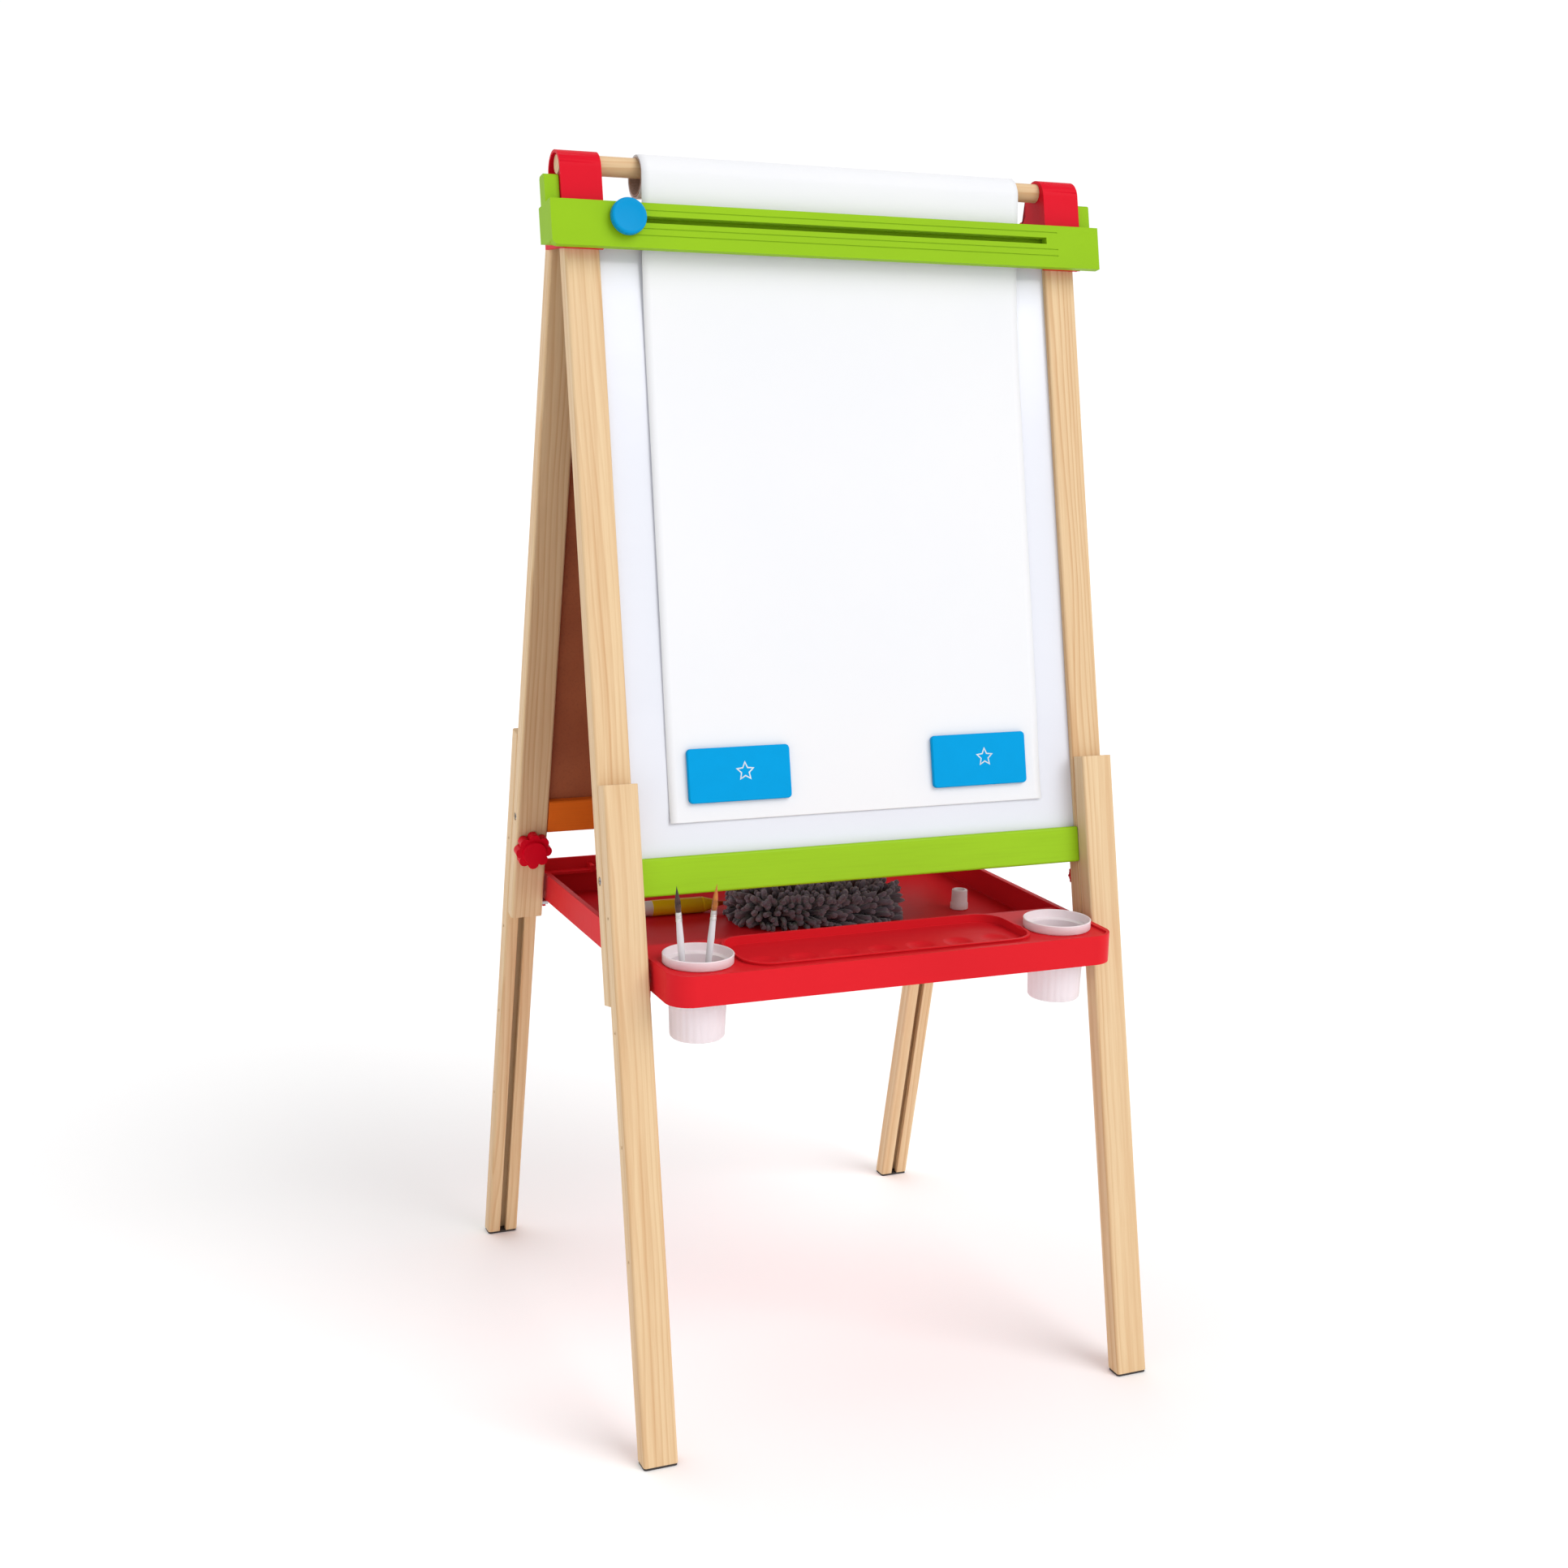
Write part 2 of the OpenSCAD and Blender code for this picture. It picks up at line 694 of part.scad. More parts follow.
module cutter_rail() {
    color("yellowgreen") in_front() difference() {
        union() {
            rail_body();
            rail_channel();
            both_sides() rail_end();
        }
        block(slot_x, [rail_back - eps, rail_face + eps], [slot_at - slot_w / 2, slot_at + slot_w / 2]);
        for (u = ridge_at)
            block([cutter_x, slot_x[1] + 2 * slot_w], [rail_face - ridge, rail_face + eps],
                  [u - ridge_half, u + ridge_half]);
        both_sides() rail_screw_places()
            bar_w(0, 0, screw_r + screw_fit, [rail_boss - eps, rail_face - screw_hold + tip_room]);
    }
}

module cutter_knob() {
    color("deepskyblue") in_front() {
        bar_w(cutter_x, slot_at, grip_r, grip_w);
        translate([cutter_x, -grip_w[1], -slot_at]) rotate([90, 0, 0])
            cylinder(h = grip_edge, r1 = grip_r, r2 = grip_r - 2);
        bar_w(cutter_x, slot_at, slot_w / 2 - neck_gap, [shoe_w[1], grip_w[0] + eps]);
    }
}

module cutter_slider() {
    color("dimgray") in_front() {
        block([cutter_x - shoe_half, cutter_x + shoe_half], shoe_w, shoe_u);
        block([cutter_x - holder_half, cutter_x + holder_half], [holder_w, shoe_w[0]], holder_u);
    }
}

module cutter_blade() {
    color("silver") in_front() block([cutter_x - blade_half, cutter_x + blade_half], blade_w, blade_u);
}

// ---------- paper ----------

module roll_tube(outer, inner) {
    translate([paper_x - paper_w / 2, dowel_y, roll_z]) rotate([0, 90, 0]) difference() {
        cylinder(h = paper_w, r = outer);
        translate([0, 0, -eps]) cylinder(h = paper_w + 2 * eps, r = inner);
    }
}

module paper_dowel() {
    color("wheat") in_front() bar_x(dowel_w, dowel_u, dowel_r, [-dowel_half, dowel_half]);
}
module paper_roll() { color("white") roll_tube(roll_r, core_out); }
module roll_core() { color("peru") roll_tube(core_out, core_in); }

// Sheet pulled off the roll: behind the cutter rail, over the top rail, down the board
module paper_sheet() {
    start = [29.8, -10];
    over_rail = [leg_t + 1.3, 44];
    off_rail = [leg_t + 0.6, top_rail_at + top_rail_h + 1];
    landed = 120;
    path = [start, over_rail, off_rail, [board_w, landed], [board_w, sheet_end]];
    outer = [for (p = path) [-p[0] - sheet_t, -p[1]]];
    inner = [for (k = [len(path) - 1:-1:0]) [-path[k][0], -path[k][1]]];
    color("whitesmoke") in_front() along_x([sheet_x - paper_w / 2, sheet_x + paper_w / 2])
        polygon(concat(outer, inner));
}

// ---------- tray ----------

module tray_plan(grow) {
    x = tray_w / 2 + grow;
    y0 = tray_front - grow;
    y1 = tray_back + grow;
    r = tray_corner + grow;
    translate([-x, y0 + r]) square([2 * x, y1 - y0 - r]);
    translate([-x + r, y0]) square([2 * (x - r), r]);
    for (cx = [-x + r, x - r]) translate([cx, y0 + r]) circle(r);
}

// The tray's plan between two places, front to back
module tray_strip(y) {
    intersection() {
        tray_plan(-1);
        translate([-tray_w / 2, y[0]]) square([tray_w, y[1] - y[0]]);
    }
}

module recess_plan(grow) {
    soft_rect([-recess_half - grow, recess_half + grow], [recess_y0 - grow, recess_y1 + grow],
              recess_r + grow);
}

module slice(z, h) { translate([0, 0, z]) linear_extrude(h) children(); }

module tray_walls() {
    slice(tray_z, tray_h) difference() { tray_plan(0); tray_plan(-wall); }
    slice(tray_top - wall, wall) difference() {
        tray_plan(0);
        translate([-tray_w / 2 + rim, tray_front + rim])
            square([tray_w - 2 * rim, tray_back - tray_front - 2 * rim]);
    }
}

// Basin floor, front shelf and the step between them
module tray_floors() {
    slice(tray_z, wall) tray_strip([basin_front - wall, tray_back]);
    slice(shelf_z - wall, wall) tray_strip([tray_front, basin_front]);
    translate([-tray_w / 2 + 1, basin_front - wall, tray_z]) cube([tray_w - 2, wall, shelf_z - tray_z]);
}

// Shallow pencil recess, with a lipped rim round its mouth
module recess_shell() {
    foot = recess_z - well_deep - well_base;
    top = shelf_z + recess_rim;
    slice(foot, top - foot) recess_plan(wall - lip_out);
    slice(top - lip_t, lip_t) recess_plan(wall);
}

module recess_hollow() {
    well_step = 2 * (recess_half - well_margin) / wells;
    slice(recess_z, tray_h) recess_plan(0);
    for (k = [0:wells - 1])
        translate([(k - (wells - 1) / 2) * well_step, well_y, recess_z + well_r - well_deep]) sphere(well_r);
}

// Raised back wall with its flat ledge and two gussets
module tray_back_wall() {
    ledge = 13;
    gusset = [4, 16, 7];
    inset = 2;
    translate([-tray_w / 2 + inset, tray_back - wall, tray_top - eps])
        cube([tray_w - 2 * inset, wall, back_rise]);
    translate([-tray_w / 2 + wall / 2, tray_back - ledge - 1, tray_top - wall])
        cube([tray_w - wall, ledge, wall]);
    both_sides() translate([gusset_x - gusset[0] / 2, tray_back - gusset[1], tray_top - 2]) cube(gusset);
}

// Lugs beside the steel pins: a fork over each front pin, a stop behind each rear pin
module tray_lugs() {
    side_gap = 0.2;
    off_pin = pin_r + side_gap;
    both_sides() for (y = [-pin_y - off_pin - lug, -pin_y + off_pin, pin_y + off_pin])
        translate([tray_w / 2 - wall, y, tray_z - lug_drop]) cube([wall, lug, lug_drop + wall + 1]);
}

module tray() {
    color("red") difference() {
        union() {
            tray_walls();
            tray_floors();
            recess_shell();
            tray_back_wall();
            tray_lugs();
        }
        recess_hollow();
        both_sides() translate([cup_x, cup_y, tray_z - eps]) cylinder(h = tray_h, r = cup_hole_r);
    }
}

// Cup hung in the shelf by the shoulder under its wide collar
module cup() {
    collar_in = cup_collar_r - cup_wall;
    top_z = cup_seat_z + cup_collar_h;
    color("mistyrose") rotate_extrude() polygon([
        [0, cup_base_z], [cup_low_r, cup_base_z], [cup_top_r, cup_seat_z], [cup_collar_r, cup_seat_z],
        [cup_collar_r, top_z], [collar_in, top_z], [collar_in, cup_seat_z + cup_wall],
        [cup_top_r - cup_wall, cup_seat_z + cup_wall], [cup_low_r - cup_wall, cup_base_z + cup_wall],
        [0, cup_base_z + cup_wall]]);
}

module cup_at(side) { translate([side * cup_x, cup_y, 0]) cup(); }

module along(a, b) {
    d = b - a;
    translate(a) rotate([0, acos(d[2] / norm(d)), atan2(d[1], d[0])]) children();
}

module brush_handle(k) {
    length = norm(brush_tips[k] - brush_feet[k]) - bristle_len;
    ferrule = 12;
    color("white") along(brush_feet[k], brush_tips[k]) {
        cylinder(h = length - ferrule, r1 = 0.75 * handle_r, r2 = handle_r);
        translate([0, 0, length - ferrule]) cylinder(h = ferrule, r1 = handle_r, r2 = ferrule_r);
    }
}

module brush_bristles(k) {
    length = norm(brush_tips[k] - brush_feet[k]);
    color("saddlebrown") along(brush_feet[k], brush_tips[k])
        translate([0, 0, length - bristle_len]) cylinder(h = bristle_len, r1 = ferrule_r, r2 = 0.5);
}

// ---------- loose pieces ----------

module magnet(x) {
    magnet_w = board_w + sheet_t + loose_gap;
    half = [magnet_size[0] / 2, magnet_size[1] / 2];
    color("deepskyblue") in_front() translate([x, -magnet_w, -magnet_u]) rotate([90, 0, 0])
        linear_extrude(magnet_size[2])
            soft_rect([-half[0], half[0]], [-half[1], half[1]], magnet_corner);
}

module duster() {
    end_r = duster_size[1] / 2;
    straight = duster_size[0] - duster_size[1];
    color("dimgray") translate([duster_at[0], duster_at[1], floor_z + loose_gap + eps]) rotate(duster_turn)
        linear_extrude(duster_size[2]) {
            square([straight, duster_size[1]], center = true);
            for (x = [LEFT, RIGHT]) translate([x * straight / 2, 0]) circle(end_r);
        }
}

// Marker on its side: barrel, shoulder and a thin tip
module marker() {
    rest_z = floor_z + marker_r + loose_gap;
    color("gold") translate([marker_at[0], marker_at[1], rest_z]) rotate([0, 90, marker_turn]) {
        cylinder(h = marker_barrel, r = marker_r);
        translate([0, 0, marker_barrel]) cylinder(h = marker_shoulder, r1 = marker_r, r2 = marker_tip_r);
        translate([0, 0, marker_barrel + marker_shoulder])
            cylinder(h = marker_tip, r1 = marker_tip_r, r2 = marker_tip_r / 2);
    }
}

module stopper() {
    color("mistyrose") translate([stopper_at[0], stopper_at[1], floor_z + loose_gap])
        cylinder(h = stopper_h, r1 = stopper_r[0], r2 = stopper_r[1]);
}

module tray_pin() { bar_x(mid_w, pin_u, pin_r, [pin_end, leg_in + pin_depth]); }
module front_tray_pins() { color("silver") both_sides() in_front() tray_pin(); }
module back_tray_pins() { color("silver") both_sides() in_back() tray_pin(); }

// ---------- nodes ----------

front_leg(LEFT);  // front_leg_left
front_leg(RIGHT);  // front_leg_right
front_top_rail();
front_lower_rail();
whiteboard_face();
whiteboard_backing();
hinge_bracket(LEFT);  // hinge_bracket_left
hinge_bracket(RIGHT);  // hinge_bracket_right
hinge_bolts();
hinge_nuts();
bracket_screws();
rail_screws();
front_frame_screws();
front_leg_bolts();
front_washers();
front_tray_pins();
cutter_rail();
paper_sheet();
back_leg(LEFT);  // back_leg_left
back_leg(RIGHT);  // back_leg_right
back_top_rail();
back_lower_rail();
chalkboard();
back_frame_screws();
back_leg_bolts();
back_washers();
back_tray_pins();
lower_leg_front(LEFT);  // lower_leg_front_left
lower_leg_front(RIGHT);  // lower_leg_front_right
lower_leg_back(LEFT);  // lower_leg_back_left
lower_leg_back(RIGHT);  // lower_leg_back_right
foot_pad_at(LEFT, false);  // foot_pad_front_left
foot_pad_at(RIGHT, false);  // foot_pad_front_right
foot_pad_at(LEFT, true);  // foot_pad_back_left
foot_pad_at(RIGHT, true);  // foot_pad_back_right
knob_front(LEFT);  // knob_front_left
knob_front(RIGHT);  // knob_front_right
knob_back(LEFT);  // knob_back_left
knob_back(RIGHT);  // knob_back_right
paper_dowel();
paper_roll();
roll_core();
cutter_knob();
cutter_slider();
cutter_blade();
tray();
cup_at(LEFT);  // cup_left
cup_at(RIGHT);  // cup_right
brush_handle(0);  // brush_left_handle
brush_bristles(0);  // brush_left_bristles
brush_handle(1);  // brush_right_handle
brush_bristles(1);  // brush_right_bristles
magnet(magnet_x[0]);  // magnet_left
magnet(magnet_x[1]);  // magnet_right
duster();
marker();
stopper();
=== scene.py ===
"""Looks of a double-sided kids easel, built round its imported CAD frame.

Metres, +Z up, whiteboard towards -Y.
"""

import json
import math
import random
from collections import namedtuple

import bmesh
import bpy
from mathutils import Matrix, Vector, noise


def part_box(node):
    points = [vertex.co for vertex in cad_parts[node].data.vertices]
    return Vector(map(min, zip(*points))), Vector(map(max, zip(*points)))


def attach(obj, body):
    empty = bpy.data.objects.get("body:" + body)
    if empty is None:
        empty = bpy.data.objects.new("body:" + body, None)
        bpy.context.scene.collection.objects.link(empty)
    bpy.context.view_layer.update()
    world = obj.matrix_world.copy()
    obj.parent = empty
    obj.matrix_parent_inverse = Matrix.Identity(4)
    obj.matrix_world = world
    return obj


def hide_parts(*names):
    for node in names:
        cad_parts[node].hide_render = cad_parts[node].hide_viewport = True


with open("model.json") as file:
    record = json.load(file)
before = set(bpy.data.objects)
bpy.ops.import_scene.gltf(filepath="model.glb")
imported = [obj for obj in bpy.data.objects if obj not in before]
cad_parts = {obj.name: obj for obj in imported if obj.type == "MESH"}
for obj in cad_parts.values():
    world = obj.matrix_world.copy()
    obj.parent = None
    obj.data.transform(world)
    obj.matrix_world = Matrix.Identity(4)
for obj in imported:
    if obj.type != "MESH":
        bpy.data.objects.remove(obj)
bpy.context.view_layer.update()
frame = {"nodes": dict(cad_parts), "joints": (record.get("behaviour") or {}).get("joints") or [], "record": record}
JOINTS = {joint["name"]: joint for joint in frame["joints"]}
BODIES = frame["record"]["behaviour"]["bodies"]
BODY_OF = {node: body for body, nodes in BODIES.items() for node in nodes}
SLOT_OF = {row["node"]: row["material_slot"] for row in frame["record"]["subparts"]}

MM = 0.001
WELD = 0.001 * MM   # vertices nearer than this are one
X = Vector((1, 0, 0))
Z = Vector((0, 0, 1))
UP = Vector(JOINTS["leg_slide_front_left"]["axis"]).normalized()   # up along the front frame
OUT = Vector(JOINTS["magnet_pull_left"]["axis"]).normalized()      # out of the white face
BACK_OUT = Vector((0, -OUT.y, OUT.z))                              # out of the chalk face
TILT = math.atan2(UP.y, UP.z)
KEY_LEVEL = 1.3   # light on a face turned to the key, where 1 shows an albedo as it is
SIDES = ("left", "right")
FACES = ("front", "back")


# ---------- mesh helpers ----------

def basis(origin, axis, across=X):
    """Matrix that puts local +Z along axis at origin, with local +X as near to across as it can be."""
    z = Vector(axis).normalized()
    x = (Vector(across) - z * Vector(across).dot(z)).normalized()
    turn = Matrix((x, z.cross(x), z)).transposed().to_4x4()
    return Matrix.Translation(origin) @ turn


def add_piece(name, bm, nodes, material, smooth=40, place=None):
    """Makes a piece from a bmesh; it stands for the CAD nodes and rides on the first one's body."""
    bmesh.ops.recalc_face_normals(bm, faces=bm.faces)
    mesh = bpy.data.meshes.new(name)
    if place is not None:
        bm.transform(place)
    bm.to_mesh(mesh)
    bm.free()
    mesh.shade_smooth()
    mesh.set_sharp_from_angle(angle=math.radians(smooth))
    piece = bpy.data.objects.new(name, mesh)
    bpy.context.scene.collection.objects.link(piece)
    for entry in material if isinstance(material, (list, tuple)) else [material]:
        mesh.materials.append(entry)
    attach(piece, BODY_OF[nodes[0]])
    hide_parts(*nodes)
    return piece


def edge_groups(edges):
    """Sharp edges as connected groups."""
    left, groups = set(edges), []
    while left:
        group, todo = [], [left.pop()]
        while todo:
            edge = todo.pop()
            group.append(edge)
            for vert in edge.verts:
                near = [e for e in vert.link_edges if e in left]
                left.difference_update(near)
                todo += near
        groups.append(group)
    return groups


def span(edges):
    points = [v.co for e in edges for v in e.verts]
    return (Vector(map(max, *points)) - Vector(map(min, *points))).length


def refined(node, material, width, segments=3, smallest=14 * MM, sharp=32):
    """The CAD node's own shape with its crisp edges rounded, as moulding or sanding leaves them."""
    same_plane = math.radians(0.4)
    bm = bmesh.new()
    bm.from_mesh(frame["nodes"][node].data)
    bmesh.ops.remove_doubles(bm, verts=bm.verts, dist=WELD)
    bmesh.ops.dissolve_limit(bm, angle_limit=same_plane, verts=bm.verts, edges=bm.edges)
    crisp = [e for e in bm.edges if len(e.link_faces) == 2 and e.calc_face_angle(0) > math.radians(sharp)]
    kept = [e for group in edge_groups(crisp) if span(group) > smallest for e in group]
    bmesh.ops.bevel(bm, geom=kept, offset=width, offset_type="OFFSET", segments=segments, profile=0.5,
                    affect="EDGES", clamp_overlap=True)
    piece = add_piece(node + "_shape", bm, [node], material)
    piece.modifiers.new("even_faces", "WEIGHTED_NORMAL").keep_sharp = True
    return piece


def lathe(bm, profile, turns=64, material=0, ripple=None):
    """Revolves (radius, height) points about +Z. A radius of zero closes the end."""
    rings = []
    for radius, height in profile:
        if radius <= 0:
            rings.append([bm.verts.new((0, 0, height))])
            continue
        ring = []
        for k in range(turns):
            angle = 2 * math.pi * k / turns
            grown = radius + (ripple(angle, radius, height) if ripple else 0)
            ring.append(bm.verts.new((grown * math.cos(angle), grown * math.sin(angle), height)))
        rings.append(ring)
    for low, high in zip(rings, rings[1:]):
        for k in range(turns):
            after = (k + 1) % turns
            corners = [low[k % len(low)], low[after % len(low)], high[after % len(high)], high[k % len(high)]]
            unique = list(dict.fromkeys(corners))
            if len(unique) > 2:
                bm.faces.new(unique).material_index = material


def close_tube(bm, rings):
    """Faces between rings of vertices, and over both ends."""
    for low, high in zip(rings, rings[1:]):
        for k in range(len(low)):
            after = (k + 1) % len(low)
            bm.faces.new((low[k], low[after], high[after], high[k]))
    bm.faces.new(rings[0][::-1])
    bm.faces.new(rings[-1])


def arc(centre, radius, start, end, steps=5):
    """Points on a circle in a lathe's profile, angles in degrees."""
    angles = [math.radians(start + (end - start) * k / steps) for k in range(steps + 1)]
    return [(centre[0] + radius * math.cos(a), centre[1] + radius * math.sin(a)) for a in angles]


def clamp(value, low=0, high=1):
    return max(low, min(high, value))


def scaled(colour, factor):
    return tuple(factor * value for value in colour)


def middle(node):
    low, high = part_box(node)
    return (low + high) / 2


def points_of(node):
    """The places of a CAD node's vertices."""
    return [Vector(v.co) for v in frame["nodes"][node].data.vertices]


# ---------- material helpers ----------

class Look:
    """A Principled material under construction."""

    def __init__(self, name, **sockets):
        self.material = bpy.data.materials.new(name)
        self.material.use_nodes = True
        self.tree = self.material.node_tree
        self.shader = self.tree.nodes["Principled BSDF"]
        for socket, value in sockets.items():
            self.shader.inputs[socket.replace("_", " ").title().replace("Ior", "IOR")].default_value = value
        self.place = self.node("TexCoord").outputs["Object"]

    def node(self, kind, inputs=None, **settings):
        made = self.tree.nodes.new("ShaderNode" + kind)
        for key, value in settings.items():
            setattr(made, key, value)
        for key, value in (inputs or {}).items():
            if isinstance(value, bpy.types.NodeSocket):
                self.tree.links.new(value, made.inputs[key])
            else:
                made.inputs[key].default_value = value
        return made

    def mapped(self, scale=(1, 1, 1), rotation=(0, 0, 0), location=(0, 0, 0), source=None):
        inputs = {"Vector": source or self.place, "Scale": scale, "Rotation": rotation, "Location": location}
        return self.node("Mapping", inputs).outputs["Vector"]

    def noise(self, scale, source=None, detail=2.0, roughness=0.5):
        inputs = {"Vector": source or self.place, "Scale": scale, "Detail": detail, "Roughness": roughness}
        return self.node("TexNoise", inputs).outputs["Fac"]

    def stretch(self, value, low, high, to_low=0.0, to_high=1.0):
        """Maps the range low..high of a value to another range, with the ends held."""
        inputs = {"Value": value, "From Min": low, "From Max": high, "To Min": to_low, "To Max": to_high}
        return self.node("MapRange", inputs).outputs["Result"]

    def mix(self, factor, first, second, blend="MIX"):
        made = self.node("Mix", {"Factor": factor}, data_type="RGBA", blend_type=blend)
        for socket, value in ((made.inputs[6], first), (made.inputs[7], second)):
            if isinstance(value, bpy.types.NodeSocket):
                self.tree.links.new(value, socket)
            else:
                socket.default_value = (*value, 1)
        return made.outputs[2]

    def maths(self, operation, first, second):
        return self.node("Math", {0: first, 1: second}, operation=operation).outputs[0]

    def link(self, value, socket):
        self.tree.links.new(value, self.shader.inputs[socket])

    def bump(self, height, distance, strength=1.0):
        inputs = {"Height": height, "Distance": distance, "Strength": strength}
        self.link(self.node("Bump", inputs).outputs["Normal"], "Normal")


def rgb(red, green, blue):
    """The albedo that looks like this screen colour, 0 to 255, on a face turned to the key light."""
    def linear(value):
        value /= 255
        return (value / 12.92 if value <= 0.04045 else ((value + 0.055) / 1.055) ** 2.4) / KEY_LEVEL
    return linear(red), linear(green), linear(blue)


GRAIN = {"front": (TILT, 0, 0), "back": (-TILT, 0, 0), "across": (0, -math.pi / 2, 0)}


def pine(name, grain, node, seed, light=(245, 215, 172), dark=(208, 152, 98)):
    """Varnished pine: growth rings about a pith beside the stick, with streaks and fibres along it."""
    look = Look(name, roughness=0.5, specular_ior_level=0.15)
    draw = random.Random(seed)
    turned = look.mapped(rotation=GRAIN[grain])
    tilt, lay, _ = GRAIN[grain]
    heart = Matrix.Rotation(tilt, 3, "X") @ Matrix.Rotation(lay, 3, "Y") @ middle(node)
    pith = (-heart.x + draw.choice((-1, 1)) * draw.uniform(12, 34) * MM,
            -heart.y + draw.uniform(12, 30) * MM,
            draw.uniform(0, 3))
    lean = (draw.uniform(-0.05, 0.05), draw.uniform(-0.06, 0.06), 0)
    board = look.mapped(scale=(1, 1, 0.12), location=pith, rotation=lean, source=turned)
    rings = growth_rings(look, board, draw.uniform(52, 70))
    late = late_wood(look, rings)
    along = look.mapped(scale=(1, 1, 0.02), location=(0, 0, draw.uniform(0, 9)), source=turned)
    fibre = look.noise(1500, along, detail=3)
    streak = look.noise(130, along, detail=3, roughness=0.6)
    band = look.noise(34, along, detail=2)
    depth = look.maths("MULTIPLY", late, look.stretch(band, 0.35, 0.7, 0.10, 0.46))
    depth = look.maths("ADD", depth, look.stretch(streak, 0.35, 0.72, -0.04, 0.34))
    depth = look.maths("ADD", depth, look.stretch(fibre, 0.3, 0.75, -0.05, 0.12))
    colour = look.mix(depth, rgb(*light), rgb(*dark))
    wide = look.mapped(scale=(1, 1, 0.3), location=(draw.uniform(0, 9), 0, 0), source=turned)
    patch = look.stretch(look.noise(6, wide), 0.35, 0.7, 0.0, 0.5)
    warm = look.mix(patch, colour, (0.93, 0.80, 0.66), "MULTIPLY")
    look.link(look.mix(0.5, colour, warm), "Base Color")
    look.link(look.stretch(fibre, 0.3, 0.7, 0.36, 0.52), "Roughness")
    look.bump(look.maths("ADD", fibre, look.maths("MULTIPLY", rings, 0.3)), 0.10 * MM, 0.5)
    return look.material


def growth_rings(look, board, per_metre):
    """Rings about local Z that sway by up to 15 mm."""
    sway = look.node("TexNoise", {"Vector": board, "Scale": 16.0, "Detail": 2.0}).outputs["Color"]
    centred = look.node("VectorMath", {0: sway, 1: (0.5, 0.5, 0.5)}, operation="SUBTRACT").outputs[0]
    offset = look.node("VectorMath", {0: centred, "Scale": 30 * MM}, operation="SCALE").outputs[0]
    swayed = look.node("VectorMath", {0: board, 1: offset}, operation="ADD").outputs[0]
    inputs = {"Vector": swayed, "Scale": per_metre, "Distortion": 1.5, "Detail": 2.0, "Detail Scale": 1.0,
              "Detail Roughness": 0.6}
    wave = look.node("TexWave", inputs, wave_type="RINGS", rings_direction="Z", wave_profile="SAW")
    return wave.outputs["Fac"]


def late_wood(look, rings):
    """How dark each ring is: it deepens slowly, then ends at once."""
    late = look.node("ValToRGB", {"Fac": rings})
    late.color_ramp.interpolation = "EASE"
    for position, level in ((0.5, 0.25), (0.86, 1.0)):
        late.color_ramp.elements.new(position).color = (level, level, level, 1)
    late.color_ramp.elements[-1].color = (0.08, 0.08, 0.08, 1)
    return late.outputs["Color"]


def plastic(name, colour, roughness=0.32, texture_mm=0.9, depth_mm=0.015, vary=0.03, gloss=0.08):
    """Moulded plastic: a fine spark-eroded skin, faint flow marks and a few dull rubs."""
    look = Look(name, roughness=roughness, specular_ior_level=gloss)
    base = tuple(max(0.001, c - 0.01) for c in rgb(*colour))
    flow = look.noise(9, look.mapped(scale=(0.5, 1, 1.6)), detail=3)
    skin = look.noise(1 / (texture_mm * MM), detail=2)
    rub = look.noise(38, look.mapped(scale=(1, 5, 2)), detail=4, roughness=0.65)
    deeper = scaled(base, 1 - 2 * vary)
    tone = look.mix(look.stretch(flow, 0.3, 0.7), deeper, scaled(base, 1 + vary))
    look.link(look.mix(look.stretch(rub, 0.6, 0.8, 0, 0.3), tone, deeper), "Base Color")
    patchy = look.stretch(flow, 0.3, 0.7, -0.02, 0.03)
    uneven = look.maths("ADD", patchy, look.stretch(rub, 0.55, 0.8, 0, 0.06))
    look.link(look.maths("ADD", uneven, roughness), "Roughness")
    look.bump(look.maths("ADD", look.maths("MULTIPLY", skin, 0.5), flow), depth_mm * MM, 0.6)
    return look.material


def painted_wood(name, colour, grain):
    """Satin paint over wood: the fibres still telegraph through."""
    look = Look(name, roughness=0.42, specular_ior_level=0.12)
    turned = look.mapped(rotation=GRAIN[grain])
    fibre = look.noise(620, look.mapped(scale=(1, 1, 0.03), source=turned), detail=3)
    cloud = look.noise(11, look.mapped(scale=(1, 1, 0.4), source=turned), detail=3)
    base = rgb(*colour)
    paler = tuple(min(1, value) for value in scaled(base, 1.03))
    tone = look.mix(look.stretch(cloud, 0.3, 0.7), scaled(base, 0.95), paler)
    look.link(look.mix(look.stretch(fibre, 0.45, 0.8, 0, 0.16), tone, scaled(base, 0.6)), "Base Color")
    look.link(look.stretch(cloud, 0.3, 0.7, 0.32, 0.46), "Roughness")
    look.bump(look.maths("ADD", fibre, cloud), 0.09 * MM, 0.5)
    return look.material


def enamel():
    """White enamel on steel, with the faint haze that wiped marker leaves."""
    look = Look("white_enamel", roughness=0.2, coat_weight=0.15, coat_roughness=0.1)
    haze = look.noise(6, look.mapped(scale=(0.5, 1, 1.2), rotation=(0, 0.5, 0)), detail=5, roughness=0.6)
    peel = look.noise(260, detail=2)
    look.link(look.mix(look.stretch(haze, 0.42, 0.72), rgb(243, 245, 254), rgb(238, 240, 250)), "Base Color")
    look.link(look.stretch(haze, 0.35, 0.7, 0.12, 0.26), "Roughness")
    look.bump(peel, 0.015 * MM, 0.5)
    return look.material


